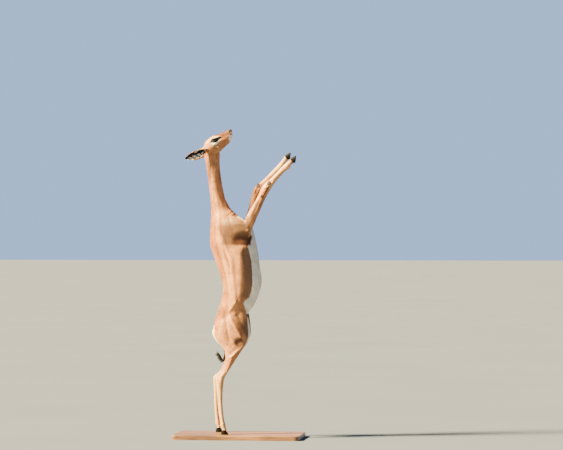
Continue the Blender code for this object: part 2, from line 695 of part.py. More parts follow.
def make_ear(name, side):
    """A cupped ear: a curved shell, nearly a tube at its root and flat at its tip."""
    droop, spread, roll = (math.radians(a) for a in (EAR_DROOP, EAR_SPREAD, EAR_ROLL))
    back, down = math.cos(droop) * math.cos(spread), math.sin(droop) * math.cos(spread)
    run = Vector((-back, math.sin(spread), -down))
    facing = (Vector((0, 1, 0)) - run * run.y).normalized()
    across = run.cross(facing).normalized()
    facing, across = (
        facing * math.cos(roll) + across * math.sin(roll),
        across * math.cos(roll) - facing * math.sin(roll),
    )
    places, widths, arcs = zip(*EAR_SHAPE)
    count, around = 13, 9
    shells = []
    for off in (-0.5, 0.5):
        for t in np.linspace(0, 1, count):
            arc = math.radians(np.interp(t, places, arcs))
            radius = EAR_HALF_WIDTH * float(np.interp(t, places, widths)) / math.sin(min(arc, math.pi / 2))
            middle = Vector(EAR_ROOT) + run * EAR_LENGTH * t + facing * (0.006 - 0.010 * t)
            for s in np.linspace(-1, 1, around):
                thick = EAR_THICK * (1 - 0.45 * abs(s)) * (1 - 0.3 * t)
                reach = max(radius + thick * off, 0.0003)
                turn = arc * s
                point = middle + across * reach * math.sin(turn)
                point += facing * (radius - reach * math.cos(turn)) * 0.9
                shells.append((point.x, side * point.y, point.z))
    size = count * around
    faces = []
    for layer in (0, size):
        for r in range(count - 1):
            for k in range(around - 1):
                a = layer + r * around + k
                faces.append((a, a + 1, a + 1 + around, a + around))
    for r in range(count - 1):
        for k in (0, around - 1):
            a = r * around + k
            faces.append((a, a + around, a + around + size, a + size))
    for k in range(around - 1):
        for a in (k, (count - 1) * around + k):
            faces.append((a, a + 1, a + 1 + size, a + size))
    return new_object(name, shells, faces)


def make_hoof(name, place, side, inner, turn=0.0):
    """One claw of a cloven hoof: flat below, pointed in front, its wall sloping up to the leg."""
    around = 12
    angle = math.radians(turn)
    shift = side * (-1 if inner else 1) * (HOOF_WIDTH / 2 + HOOF_SPLIT)
    points = []
    for height, toe, heel, wide in HOOF_SHAPE:
        for ring in np.arange(around) * 2 * math.pi / around:
            along, across = math.cos(ring), math.sin(ring)
            x = HOOF_LENGTH * ((toe + heel) / 2 + (toe - heel) / 2 * along)
            narrow = 1 - TOE_NARROWS * max(0.0, along) ** 2
            y = HOOF_WIDTH / 2 * wide * across * narrow
            z = HOOF_HEIGHT * height * (1 - HEEL_DROPS * (1 - along) / 2)
            points.append(
                (
                    place[0] + x * math.cos(angle) - z * math.sin(angle),
                    place[1] + shift + y,
                    place[2] + x * math.sin(angle) + z * math.cos(angle),
                )
            )
    return ringed(name, points, around)


def make_lock(root, way, length, width, thick, bend, rings=4):
    """A flat, tapered lock of hair that starts at root, runs along way and bends."""
    way = way.normalized()
    flat = way.cross(bend).normalized()
    points = []
    for k in range(rings):
        t = k / rings
        middle = root + way * length * t + bend * length * t**2
        half = width / 2 * (1 - t) ** 0.6
        deep = thick / 2 * (1 - 0.5 * t)
        up = flat.cross(way).normalized()
        for across, over in ((-1, 0), (0, 1), (1, 0), (0, -1)):
            points.append(middle + flat * half * across + up * deep * over)
    points.append(root + way * length + bend * length)
    tip = len(points) - 1
    faces = [(3, 2, 1, 0)]
    for k in range(rings - 1):
        for j in range(4):
            a, b = 4 * k + j, 4 * k + (j + 1) % 4
            faces.append((a, b, b + 4, a + 4))
    for j in range(4):
        faces.append((4 * (rings - 1) + j, 4 * (rings - 1) + (j + 1) % 4, tip))
    return new_object("lock", points, faces)


def make_tail():
    """The tail with its brush of black hair, flicked up and back."""
    tail = tube("tail", TAIL, 2, 8)
    rng = random.Random(11)
    rows = smooth_rows(TAIL, 2)
    locks = []
    for k in range(TAIL_LOCKS):
        row = rng.randrange(TAIL_BRUSH_FROM, len(rows) - 2)
        x, y, z, radius = rows[row]
        run = Vector(rows[row + 1][:3]) - Vector(rows[row - 1][:3])
        angle = 2 * math.pi * (k * 0.382 % 1)
        side = run.cross(Vector((0, 1, 0))).normalized()
        out = side * math.cos(angle) + Vector((0, 1, 0)) * math.sin(angle)
        root = Vector((x, y, z)) + out * radius * 0.4
        way = run.normalized() + out * rng.uniform(0.25, 0.55)
        bend = Vector((-0.45, 0, 0.5)) * rng.uniform(0.5, 1.0) + out * 0.1
        length, width = rng.uniform(*TAIL_LOCK_LENGTH), rng.uniform(*LOCK_WIDTH)
        locks.append(make_lock(root, way, length, width, TAIL_LOCK_THICK, bend * 0.6))
    return largest(combined(tail, locks, "UNION"))


def make_knee_tuft(leg, side):
    """Dark tufts of longer hair, fused to the front and the outside of a knee."""
    rng = random.Random(5 if side < 0 else 6)
    tree = BVHTree.FromObject(leg, bpy.context.evaluated_depsgraph_get())
    start, end = KNEE_TUFT[side]
    run = Vector((end[0] - start[0], 0, end[1] - start[1])).normalized()
    front = Vector((-run.z, 0, run.x))
    locks = []
    for k in range(KNEE_LOCKS):
        t = (k + 0.5) / KNEE_LOCKS
        middle = Vector((start[0], 0, start[1])).lerp(Vector((end[0], 0, end[1])), t)
        middle.y = side * KNEE_MIDDLE
        turn = math.radians(KNEE_TUFT_TURN[side] + rng.uniform(-38, 38))
        out = front * math.cos(turn) + Vector((0, side, 0)) * math.sin(turn)
        hit = tree.ray_cast(middle + out * 0.06, -out)[0]
        if hit is None:
            continue
        way = run * 1.0 + out * rng.uniform(0.16, 0.30)
        bend = (run * 0.2 - out * 0.18) * rng.uniform(0.7, 1.2)
        root = hit - out * 0.0022
        length, width = rng.uniform(*KNEE_LOCK_LENGTH), rng.uniform(*LOCK_WIDTH)
        locks.append(make_lock(root, way, length, width, KNEE_LOCK_THICK, bend))
    return largest(combined(leg, locks, "UNION"))


def make_body():
    """Trunk, neck and legs in one skin, parted by thin cuts."""
    pieces = [
        loft("trunk", TORSO, around=40, square=2.3),
        loft("neck_skin", NECK, around=32),
        loft("foreleg_r", FORELEG),
        loft("foreleg_l", left_foreleg()),
        loft("shoulder_r", SHOULDER),
        loft("shoulder_l", mirrored(SHOULDER)),
        loft("hind_r", HIND_LEG),
        loft("hind_l", left_hind_leg()),
    ]
    for place, radii, turn in DEW_CLAWS:
        for y in (-DEW_CLAW_APART, DEW_CLAW_APART):
            centre = (place[0], place[1] + y, place[2])
            pieces.append(ellipsoid("dew_claw", centre, radii, turn, 2))
    body = fused("body", pieces, BODY_VOXEL)
    body = relaxed(body, body_softness, BODY_SMOOTHING)
    body = thinned(body, BODY_TRIANGLES)
    (x0, z0), (x1, z1) = HEAD_CUT
    above = [(x0, z0 - GAP), (x1, z1 - GAP), (x1, 2.1), (x0, 2.1)]
    below = [*HIP_CUT, (-0.22, 0.50), (0.115, 0.50)]
    cutters = [prism("above", above, -0.1, 0.1), prism("crotch", below, -GAP / 2, GAP / 2)]
    cutters += [slab(name, *cut) for name, cut in CUTS.items()]
    return named_pieces(combined(body, cutters, "DIFFERENCE"), BODY_PIECES)


def make_base():
    """The display base, a plate with rounded corners and edges."""
    work = bmesh.new()
    size = Matrix.Diagonal((BASE_LENGTH, BASE_WIDTH, BASE_THICK, 1))
    place = Matrix.Translation((0, 0, BASE_THICK / 2))
    bmesh.ops.create_cube(work, size=1, matrix=place @ size)
    upright = [e for e in work.edges if abs(e.verts[0].co.z - e.verts[1].co.z) > 0.01]
    bmesh.ops.bevel(work, geom=upright, offset=BASE_CORNER, segments=4, affect="EDGES", profile=0.5)
    rim = [e for e in work.edges if min(v.co.z for v in e.verts) > BASE_THICK - 0.001]
    bmesh.ops.bevel(work, geom=rim, offset=BASE_EDGE, segments=2, affect="EDGES", profile=0.5)
    mesh = bpy.data.meshes.new("stand_base")
    work.to_mesh(mesh)
    work.free()
    obj = bpy.data.objects.new("stand_base", mesh)
    bpy.context.scene.collection.objects.link(obj)
    return obj


def main():
    clear_scene()
    nodes = make_body()
    nodes["head"] = make_head()
    for side, word in ((-1, "right"), (1, "left")):
        nodes["eye_" + word] = make_eye("eye_" + word, side)
        nodes["ear_" + word] = cut_clear(make_ear("ear_" + word, side), [nodes["head"]])
        leg = nodes["fore_cannon_" + word]
        nodes["fore_cannon_" + word] = make_knee_tuft(leg, side)
        for foot, turn in (("fore", FORE_HOOF_TURN), ("hind", 0.0)):
            cannon = nodes[f"{foot}_cannon_{word}"]
            for inner in (True, False):
                name = f"hoof_{foot}_{word}_{'inner' if inner else 'outer'}"
                claw = make_hoof(name, HOOF_PLACES[foot, word], side, inner, turn)
                nodes[name] = cut_clear(claw, [cannon])
    tail = cut_clear(make_tail(), [nodes[n] for n in ("torso", "hind_leg_right", "hind_leg_left")])
    nodes["tail"] = largest(tail)
    nodes["stand_base"] = make_base()
    for name, obj in nodes.items():
        slot = slot_of(name)
        obj.data.materials.clear()
        obj.data.materials.append(material(name + "_" + slot, *FINISHES[slot]))
        for face in obj.data.polygons:
            face.use_smooth = slot != "stand_wood"


main()
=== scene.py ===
# %% [markdown]
# # A gerenuk standing on its hind legs
#
# The solids hold the true size and pose of the animal. This script dresses them for a picture.

# %% Load the frame
import math

import bmesh
import bpy
import numpy as np
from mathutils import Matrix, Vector
from mathutils.bvhtree import BVHTree


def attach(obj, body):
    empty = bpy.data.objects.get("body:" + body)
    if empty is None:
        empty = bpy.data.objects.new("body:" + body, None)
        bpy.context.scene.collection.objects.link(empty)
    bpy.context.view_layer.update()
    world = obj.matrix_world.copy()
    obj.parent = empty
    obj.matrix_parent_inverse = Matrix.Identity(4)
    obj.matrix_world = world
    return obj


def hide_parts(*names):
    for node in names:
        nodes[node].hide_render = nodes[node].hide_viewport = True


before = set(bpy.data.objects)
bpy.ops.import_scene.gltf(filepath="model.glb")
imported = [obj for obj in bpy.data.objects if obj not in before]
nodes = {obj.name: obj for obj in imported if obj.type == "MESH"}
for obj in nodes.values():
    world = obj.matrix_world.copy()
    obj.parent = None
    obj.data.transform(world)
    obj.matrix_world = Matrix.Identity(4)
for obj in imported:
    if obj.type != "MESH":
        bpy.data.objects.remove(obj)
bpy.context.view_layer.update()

# %% [markdown]
# ## The lines of the body
#
# Hair, markings and muscles all follow the body: hair lies from the nose to the tail and down each
# leg. So each part gets a centre line, in the direction of its hair, as x, y, z and its own radius
# in millimetres.
# Three things are read from these lines: which part a point belongs to, the way its hair lies, and
# its place on a flat map of that part. Tables in millimetres are divided by 1000 where they are read.

# %% Centre lines
LINES = {
    "head": (
        (-45, 0, 2018, 20), (-100, 0, 1975, 40), (-150, 0, 1950, 50), (-190, 0, 1915, 50),
    ),
    "neck": (
        (-180, 0, 1880, 46), (-170, 0, 1780, 42), (-153, 0, 1640, 42), (-128, 0, 1510, 60),
    ),
    "trunk": (
        (-105, 0, 1430, 100), (-50, 0, 1330, 125), (-12, 0, 1150, 130), (10, 0, 1020, 125),
        (-25, 0, 900, 110), (-85, 0, 780, 90), (-135, 0, 700, 50),
    ),
    "foreleg_right": (
        (-20, -68, 1380, 46), (60, -75, 1400, 42), (100, -75, 1470, 32), (148, -72, 1562, 26),
        (186, -68, 1642, 24), (233, -64, 1696, 20), (265, -61, 1731, 16), (365, -52, 1833, 20),
    ),
    "foreleg_left": (
        (-20, 68, 1380, 46), (50, 75, 1400, 42), (73, 75, 1470, 32), (89, 72, 1562, 26),
        (118, 68, 1642, 24), (169, 64, 1691, 20), (204, 61, 1727, 16), (318, 52, 1852, 20),
    ),
    "hind_right": (
        (-50, -50, 800, 85), (-20, -62, 670, 80), (-30, -78, 560, 50), (-70, -88, 470, 32),
        (-112, -94, 398, 28), (-112, -100, 250, 18), (-93, -109, 100, 20), (-80, -110, 45, 22),
    ),
    "hind_left": (
        (-50, 50, 800, 85), (-20, 62, 670, 80), (-50, 78, 560, 50), (-108, 88, 470, 32),
        (-158, 94, 398, 28), (-168, 100, 250, 18), (-157, 109, 100, 20), (-148, 110, 45, 22),
    ),
    "ear_right": (
        (-222, -36, 1901, 18), (-285, -62, 1870, 30), (-346, -82, 1846, 14),
    ),
    "ear_left": (
        (-222, 36, 1901, 18), (-285, 62, 1870, 30), (-346, 82, 1846, 14),
    ),
    "tail": (
        (-166, 0, 700, 15), (-157, 0, 664, 11), (-137, 0, 632, 9), (-113, 0, 610, 8), (-98, 2, 580, 8),
        (-93, 4, 546, 8), (-97, 5, 522, 9), (-108, 6, 514, 10), (-123, 6, 527, 11), (-136, 6, 545, 8),
    ),
}
CENTRE_LINES = {name: np.array(line) / 1000 for name, line in LINES.items()}


def along_line(points, line):
    """Each point's distance from a line in radii, how far along it is, its way and its centre."""
    line = np.array(line, float)
    starts, runs = line[:-1], np.diff(line, axis=0)
    lengths = np.linalg.norm(runs[:, :3], axis=1)
    before = np.concatenate([[0], np.cumsum(lengths)])
    nearest = np.full(len(points), 1e9)
    travelled, way, centre = np.zeros(len(points)), np.zeros((len(points), 3)), np.zeros((len(points), 3))
    for start, run, length, done in zip(starts, runs, lengths, before):
        t = np.clip((points - start[:3]) @ run[:3] / length**2, 0, 1)
        middle = start[:3] + t[:, None] * run[:3]
        gap = np.linalg.norm(points - middle, axis=1) / (start[3] + t * run[3])
        near = gap < nearest
        nearest[near], travelled[near] = gap[near], ((done + t * length) / before[-1])[near]
        way[near], centre[near] = run[:3] / length, middle[near]
    return nearest, travelled, way, centre


PARTS = list(CENTRE_LINES)
print("centre lines", len(PARTS))

# %% [markdown]
# ## Small helpers
#
# A mesh's points are read and written as one numpy array, which is far quicker than a loop. The
# smoothing moves each point towards the middle of its neighbours and then slightly back again, which
# takes out bumps without shrinking the shape.


# %% Mesh helpers
def ramp(value, low, high):
    """0 below low, 1 above high, and a smooth slope between. high may be under low."""
    t = np.clip((value - low) / (high - low), 0, 1)
    return t * t * (3 - 2 * t)


def window(value, low, full, fade, high):
    """1 between full and fade, 0 below low and above high."""
    return ramp(value, low, full) * ramp(value, high, fade)


def unit(vectors):
    """The vectors, each made one long."""
    return vectors / np.maximum(np.linalg.norm(vectors, axis=-1, keepdims=True), 1e-9)


def read(items, key, width, kind):
    """One value of every item of a mesh, as rows of width numbers."""
    flat = np.empty(len(items) * width, kind)
    items.foreach_get(key, flat)
    return flat.reshape(-1, width)


def points_of(mesh):
    return read(mesh.vertices, "co", 3, np.float32).astype(float)


def normals_of(mesh):
    return read(mesh.vertex_normals, "vector", 3, np.float32).astype(float)


def edges_of(mesh):
    return read(mesh.edges, "vertices", 2, np.int32)


def triangles_of(mesh):
    mesh.calc_loop_triangles()
    return read(mesh.loop_triangles, "vertices", 3, np.int32)


def put_points(mesh, points):
    mesh.vertices.foreach_set("co", points.astype(np.float32).ravel())
    mesh.update()


def shade_smooth(mesh):
    mesh.polygons.foreach_set("use_smooth", np.ones(len(mesh.polygons), bool))


def show(mesh, name):
    """A shown object with this mesh."""
    mesh.name = name
    obj = bpy.data.objects.new(name, mesh)
    bpy.context.scene.collection.objects.link(obj)
    return obj


def mesh_from(name, points, faces):
    """A mesh from an array of points and an array of faces that all have the same number of corners."""
    mesh = bpy.data.meshes.new(name)
    corners = faces.shape[1]
    mesh.vertices.add(len(points))
    mesh.loops.add(faces.size)
    mesh.polygons.add(len(faces))
    mesh.loops.foreach_set("vertex_index", faces.astype(np.int32).ravel())
    mesh.polygons.foreach_set("loop_start", np.arange(0, faces.size, corners, dtype=np.int32))
    mesh.vertices.foreach_set("co", np.asarray(points, np.float32).ravel())
    mesh.update(calc_edges=True)
    mesh.validate()
    return mesh


def turned_out(points, faces):
    """The faces of a closed mesh, all turned over if they face inwards."""
    a, b, c = points[faces[:, 0]], points[faces[:, 1]], points[faces[:, 2]]
    d = points[faces[:, -1]]
    volume = (np.cross(a, b) * c).sum() + (np.cross(a, c) * d).sum()
    return faces if volume > 0 else faces[:, ::-1]


def modified(mesh, kind, **settings):
    """A new mesh: this one with one modifier applied."""
    obj = show(mesh, "work")
    change = obj.modifiers.new("change", kind)
    for key, value in settings.items():
        setattr(change, key, value)
    made = bpy.data.meshes.new_from_object(obj.evaluated_get(bpy.context.evaluated_depsgraph_get()))
    bpy.data.objects.remove(obj, do_unlink=True)
    return made


def neighbour_mean(values, edges):
    """For each point, the mean of its neighbours' values."""
    first, second = edges.T
    size = len(values)
    count = np.bincount(first, minlength=size) + np.bincount(second, minlength=size)
    total = [
        np.bincount(first, column[second], size) + np.bincount(second, column[first], size)
        for column in values.T
    ]
    return np.stack(total, 1) / np.maximum(count, 1)[:, None]


SMOOTHING, SWELLING_BACK = 0.6, -0.61


def soften(mesh, points, strength, steps):
    """Gives a mesh these points, smoothed by strength (one number a point) without losing volume."""
    edges = edges_of(mesh)
    for step in range(steps):
        factor = SMOOTHING if step % 2 == 0 else SWELLING_BACK
        points = points + (factor * strength)[:, None] * (neighbour_mean(points, edges) - points)
    put_points(mesh, points)


# %% [markdown]
# ## One skin
#
# The solids are parted by thin cuts, so that each part has its own name. A real hide has no such cuts.
# All the flesh is copied, swollen until the copies overlap, and remeshed as one closed surface. The
# eyeballs are copied too, so that their sockets are filled and the lids can be modelled over them.
# Then long smoothing takes out the facets of the solids: much on the trunk, little on thin legs.

# %% Join the flesh
FLESH = [n for n in nodes if not n.startswith(("hoof", "stand", "ear", "tail"))]
SKIN_VOXEL = 0.0037
SWELL = 0.0005
LEG_SOFTNESS, BODY_STEPS = 0.2, 70
HEAD_SOFTNESS, HEAD_STEPS, FACE_STEPS = 0.8, 12, 10

parts, faces, first = [], [], 0
for name in FLESH:
    mesh = nodes[name].data
    parts.append(points_of(mesh) + normals_of(mesh) * (0.0 if name.startswith("eye") else SWELL))
    faces.append(triangles_of(mesh) + first)
    first += len(parts[-1])
skin = modified(
    mesh_from("flesh", np.concatenate(parts), np.concatenate(faces)),
    "REMESH",
    mode="VOXEL",
    voxel_size=SKIN_VOXEL,
)
print("skin points", len(skin.vertices))


# %% Smooth the facets away
def trunk_share(points):
    """1 on the trunk and thighs, 0 on the thin parts."""
    hind = ramp(points[:, 2], 0.46, 0.72)
    fore = ramp(0.94 * points[:, 2] + 0.34 * points[:, 0], 1.52, 1.4)
    neck = ramp(points[:, 2], 1.66, 1.5)
    return np.where(points[:, 0] > 0, np.minimum(hind, fore), np.minimum(hind, neck))


points = points_of(skin)
on_neck = ramp(points[:, 2], 1.5, 1.58) * ramp(points[:, 0], 0.02, -0.04)
strength = LEG_SOFTNESS + (1 - LEG_SOFTNESS) * np.maximum(trunk_share(points), 0.7 * on_neck)
soften(skin, points, strength, BODY_STEPS)
print("smoothed by up to", round(float(strength.max()), 2))

# %% [markdown]
# ## A finer head
#
# A face needs far more points than a flank: an eyelid is only 2 mm thick. So the faces of the head are
# divided once, and those round the eyes and on the muzzle once more. Only then are the lids, nostrils
# and lips modelled. The rest of the body keeps its coarse mesh, which keeps the model small.

# %% Divide the head
EYE_RADIUS = 0.0165
EYE_PLACE = np.array((-0.16, 0.036, 1.964))
HEAD_TILT = math.radians(25)
FORWARD = np.array((math.cos(HEAD_TILT), 0, math.sin(HEAD_TILT)))
UPWARD = np.array((-math.sin(HEAD_TILT), 0, math.cos(HEAD_TILT)))


def folded(points):
    """The points with the right half of the body moved onto the left, where y is above 0."""
    return points * (1, 0, 1) + np.abs(points) * (0, 1, 0)


def divide(mesh, chosen):
    """The faces whose middle is chosen are divided in four."""
    work = bmesh.new()
    work.from_mesh(mesh)
    middles = np.array([face.calc_center_median() for face in work.faces])
    hit = chosen(middles)
    edges = list({edge for face, wanted in zip(work.faces, hit) if wanted for edge in face.edges})
    bmesh.ops.subdivide_edges(work, edges=edges, cuts=1, use_grid_fill=True, smooth=0.0)
    work.to_mesh(mesh)
    work.free()
    mesh.update()


def on_head(points):
    return points[:, 2] > 1.862 + 0.12 * ramp(points[:, 0], -0.1, 0.0)


def on_face(points):
    near_eye = np.linalg.norm(folded(points) - EYE_PLACE, axis=1) < 0.036
    return on_head(points) & (near_eye | (points @ FORWARD > 0.73))


divide(skin, on_head)
points = points_of(skin)
soften(skin, points, HEAD_SOFTNESS * ramp(points[:, 2], 1.84, 1.88), HEAD_STEPS)
divide(skin, on_face)
points = points_of(skin)
soften(skin, points, HEAD_SOFTNESS * on_face(points), FACE_STEPS)
print("skin points", len(points), "on the face", int(on_face(points).sum()))

# %% [markdown]
# ## Muscles and folds
#
# The hide of a gerenuk is so thin that the muscles, tendons and ribs show through it. Each of them is a
# path on the side of the body with a width and a height: the skin is pushed out near the path, or in
# where the height is below 0. The chest, the thighs and the shoulders also get narrower towards the
# front, as a keel does. Both sides get the same forms. The left legs stand further back, so their
# points are first moved onto the right legs.

# %% The muscles, in millimetres: width, height and a path of x, z
MUSCLES = (
    ("long back muscle", 11, 4.8, (-128, 1500), (-124, 1440), (-115, 1336), (-102, 1275),
     (-80, 1189), (-54, 1108)),
    ("edge of the loin", 15, 6, (-100, 1346), (-75, 1255), (-40, 1190), (-30, 1108), (-24, 1032),
     (-14, 966), (-9, 906)),
    ("valley of the loin", 8, -3.4, (-108, 1310), (-88, 1250), (-60, 1180), (-44, 1120)),
    ("hollow beside the spine", 10, -2.2, (-150, 1400), (-146, 1310), (-118, 1210), (-84, 1110),
     (-60, 1000), (-50, 930)),
    ("crest of the neck", 9, 3.4, (-178, 1700), (-174, 1630), (-157, 1495), (-132, 1455)),
    ("groove in front of the shoulder blade", 12, -2.2, (-60, 1478), (-52, 1420), (-30, 1360)),
    ("shoulder blade", 14, 3, (-124, 1440), (-118, 1360), (-100, 1296)),
    ("base of the neck", 24, 4.5, (-110, 1480), (-70, 1486), (-30, 1484)),
    ("upper arm", 15, 1.6, (-52, 1420), (0, 1420), (45, 1400)),
    ("triceps", 14, 1.6, (-50, 1352), (4, 1366), (42, 1370)),
    ("elbow", 9, 6.5, (58, 1372), (78, 1364)),
    ("armpit", 26, -5, (-22, 1306), (20, 1322), (66, 1334)),
    ("streak on the ribs", 7, -3, (44, 1258), (52, 1200), (56, 1150)),
    ("hip bone", 11, 4, (-56, 836), (-32, 874), (-4, 912)),
    ("fold of the flank", 7.5, 4.2, (22, 918), (36, 885), (48, 855), (62, 815)),
    ("front thigh muscle", 12, 6.2, (-52, 820), (-30, 767), (0, 715), (24, 680)),
    ("hollow of the thigh", 19, -10, (-10, 655), (10, 636), (32, 646)),
    ("rear thigh muscle", 20, 4, (-108, 800), (-100, 720), (-78, 640)),
    ("groove between the thigh muscles", 10, -4.4, (-78, 810), (-66, 730), (-48, 650)),
    ("fold of the stifle", 6, 4.6, (43, 617), (18, 594), (-2, 576), (-24, 550), (-56, 539)),
    ("hollow above the fold", 9, -3, (-52, 560), (-26, 580), (0, 600)),
    ("seat bone", 14, 4, (-150, 700), (-140, 680)),
    ("shin muscle", 10, 4, (-30, 545), (-50, 480), (-72, 420)),
    ("groove before the heel tendon", 5.5, -9.5, (-74, 518), (-98, 464), (-124, 405)),
    ("heel tendon", 5, 2.8, (-86, 530), (-108, 480), (-138, 410)),
    ("hock bone", 8, 3.4, (-100, 400), (-104, 380)),
    ("hollow of the hock", 5, -2.8, (-122, 404), (-120, 376)),
    ("shin bone groove", 4, -3.2, (-122, 340), (-118, 240), (-109, 150)),
    ("hind fetlock", 8, 1.8, (-94, 104), (-92, 94)),
    ("hind pastern", 5, -1.4, (-86, 70), (-80, 60)),
    ("forearm muscle", 12, 2.8, (76, 1440), (104, 1510), (128, 1560)),
    ("forearm groove", 7, -1.2, (108, 1470), (132, 1530), (156, 1580)),
    ("knee bones", 8, 2.8, (182, 1646), (190, 1654)),
    ("upper knee bones", 6, 2.2, (170, 1622), (174, 1628)),
    ("knee hollow", 5, -2.2, (200, 1644), (208, 1652)),
    ("cannon groove", 4, -2.8, (240, 1695), (290, 1745), (312, 1766)),
    ("fore fetlock", 8, 1.8, (322, 1790), (328, 1796)),
    ("throat groove", 11, -4.2, (-128, 1860), (-136, 1740), (-122, 1620), (-88, 1530)),
    ("neck muscle", 12, 3, (-186, 1860), (-172, 1740), (-154, 1620), (-128, 1520)),
    ("first neck fold", 5, 2.8, (-82, 1474), (-60, 1492), (-46, 1516)),
    ("second neck fold", 5, 2.6, (-62, 1462), (-40, 1480), (-26, 1496)),
)
RIB_COUNT, RIB_STEP, RIB_HEIGHT, RIB_WIDTH = 8, 0.028, 0.0015, 0.008
RIDGE_SOFTNESS = 0.35

# How far the left legs stand behind the right ones: heights, then moves in x and, in front, in z
HIND_STEP = ((0.03, 0.1, 0.39, 0.66), (0.071, 0.064, 0.046, 0.0))
FORE_STEP = (
    (1.375, 1.426, 1.47, 1.516, 1.562, 1.603, 1.691, 1.788, 1.852),
    (0.01, 0.021, 0.027, 0.042, 0.059, 0.068, 0.064, 0.058, 0.048),
    (0.0, 0.0, 0.0, 0.0, 0.0, 0.0, 0.005, 0.002, -0.024),
)


def as_right(points):
    """The points seen from the right side, with the left legs moved onto the right ones."""
    x, y, z = points.T
    left = y > 0
    hind = left & (z < HIND_STEP[0][-1])
    fore = left & (x > 0.03) & (z > 1.37)
    moved = points.copy()
    moved[:, 0] += np.where(hind, np.interp(z, *HIND_STEP), 0)
    moved[:, 0] += np.where(fore, np.interp(z, FORE_STEP[0], FORE_STEP[1]) * ramp(x, 0.03, 0.07), 0)
    moved[:, 2] += np.where(fore, np.interp(z, FORE_STEP[0], FORE_STEP[2]), 0)
    moved[:, 1] = -np.abs(y)
    return moved


def near_path(flat, path):
    """Distance of flat points from a path of such points, and how far along the path they are."""
    path = np.array(path, float)
    lengths = np.linalg.norm(np.diff(path, axis=0), axis=1)
    before = np.concatenate([[0], np.cumsum(lengths)]) / lengths.sum()
    nearest, along = np.full(len(flat), 1e9), np.zeros(len(flat))
    for k, length in enumerate(lengths):
        run = path[k + 1] - path[k]
        t = np.clip((flat - path[k]) @ run / length**2, 0, 1)
        gap = np.linalg.norm(flat - path[k] - t[:, None] * run, axis=1)
        near = gap < nearest
        nearest[near] = gap[near]
        along[near] = (before[k] + t * (before[k + 1] - before[k]))[near]
    return nearest, along


def hump(distance, width):
    """1 at distance 0, falling smoothly to nothing at about twice the width."""
    return np.exp(-((distance / width) ** 2))


def spindle(flat, path, width):
    """A hump along a path that swells from nothing at its start and dies away at its end."""
    gap, along = near_path(flat, path)
    belly = np.sqrt(np.clip(np.sin(math.pi * np.clip(0.06 + 0.88 * along, 0, 1)), 0, 1))
    return hump(gap, width * (0.55 + 0.45 * belly)) * belly


def relief(flat, forms):
    """How far the forms together push the skin out."""
    push = 0
    for _, width, height, *path in forms:
        push = push + height / 1000 * spindle(flat, np.array(path) / 1000, width / 1000)
    return push


points, normals = points_of(skin), normals_of(skin)
seen = as_right(points)
flat = seen[:, [0, 2]]
outward = normals[:, 1] * np.sign(points[:, 1])
facing_out = ramp(outward, 0.05, 0.55)
push = relief(flat, MUSCLES)
for k in range(RIB_COUNT):
    top = 1.25 - RIB_STEP * k
    rib = ((-0.07 + 0.006 * k, top), (-0.01, top - 0.014), (0.06, top - 0.044), (0.092, top - 0.07))
    push += RIB_HEIGHT * (1 - 0.07 * k) * spindle(flat, rib, RIB_WIDTH)
x, z = flat.T
behind = ramp(-normals[:, 0], 0.2, 0.8) * hump(z - 0.59, 0.036) * (x < -0.03)
thigh_ridge = np.interp(z, (0.68, 0.81, 0.91), (0.026, -0.046, 0.0))
inwards = 0.019 * ramp(x, 0.012, 0.085) * window(z, 0.86, 0.96, 1.22, 1.3)
inwards += 0.0165 * ramp(x - thigh_ridge, 0.0, 0.055) * window(z, 0.6, 0.7, 0.79, 0.95)
inwards += 0.012 * ramp(x, -0.12, 0.03) * window(z, 1.235, 1.29, 1.33, 1.48)
inwards *= ramp(outward, -0.3, 0.2) * ramp(np.abs(points[:, 1]), 0.002, 0.062)
points = points + normals * (push * facing_out - 0.01 * behind)[:, None]
points[:, 1] -= np.sign(points[:, 1]) * inwards
soften(skin, points, RIDGE_SOFTNESS * facing_out, 4)
print("muscles", len(MUSCLES), "push from", round(float(push.min()), 4), "to", round(float(push.max()), 4))

# %% [markdown]
# ## Lids, nostrils and lips
#
# The face is modelled in its own directions: forward to the nose, up to the brow and out to the side.
# Inside the almond of the opening the skin sinks behind the eyeball. Round it the lids lie on the
# eyeball with a fold above them. In front of the eye lies the slit of a scent gland, which is a clear
# mark of this animal. The nostril is a deep slanted slit and the mouth a fine line between two lips.

# %% Eyes
OPENING_LONG, OPENING_HIGH, OPENING_DROP = 0.0142, 0.0089, 0.0009


def about_eye(points):
    """How far forward, up and out points are from the eye of their side, and how far out of the almond."""
    away = folded(points) - EYE_PLACE
    forward, up, out = away @ FORWARD, away @ UPWARD, away[:, 1]
    high = OPENING_HIGH * (1 - 0.25 * np.clip(forward / OPENING_LONG, -1, 1) ** 2)
    almond = np.hypot(forward / OPENING_LONG, (up + OPENING_DROP) / high)
    return forward, up, out, np.where(out > 0, almond, 9.0), away


points = points_of(skin)
forward, up, out, almond, away = about_eye(points)
reach = np.linalg.norm(away, axis=1)
lid_heights = (-0.005, -0.005, 0.001, 0.0022, 0.002, 0.002)
lid = EYE_RADIUS + np.interp(almond, (0, 0.9, 1.05, 1.25, 1.5, 2.2), lid_heights)
lid -= 0.0016 * hump(almond - 1.72, 0.16) * ramp(up, -0.01, 0.002)
share = ramp(almond, 2.2, 1.45)
change = (lid - reach) * share
step = away / np.maximum(reach, 1e-6)[:, None]
step[:, 1] *= np.sign(points[:, 1])
points = points + step * change[:, None]
put_points(skin, points)
print("lid points", int((share > 0).sum()))

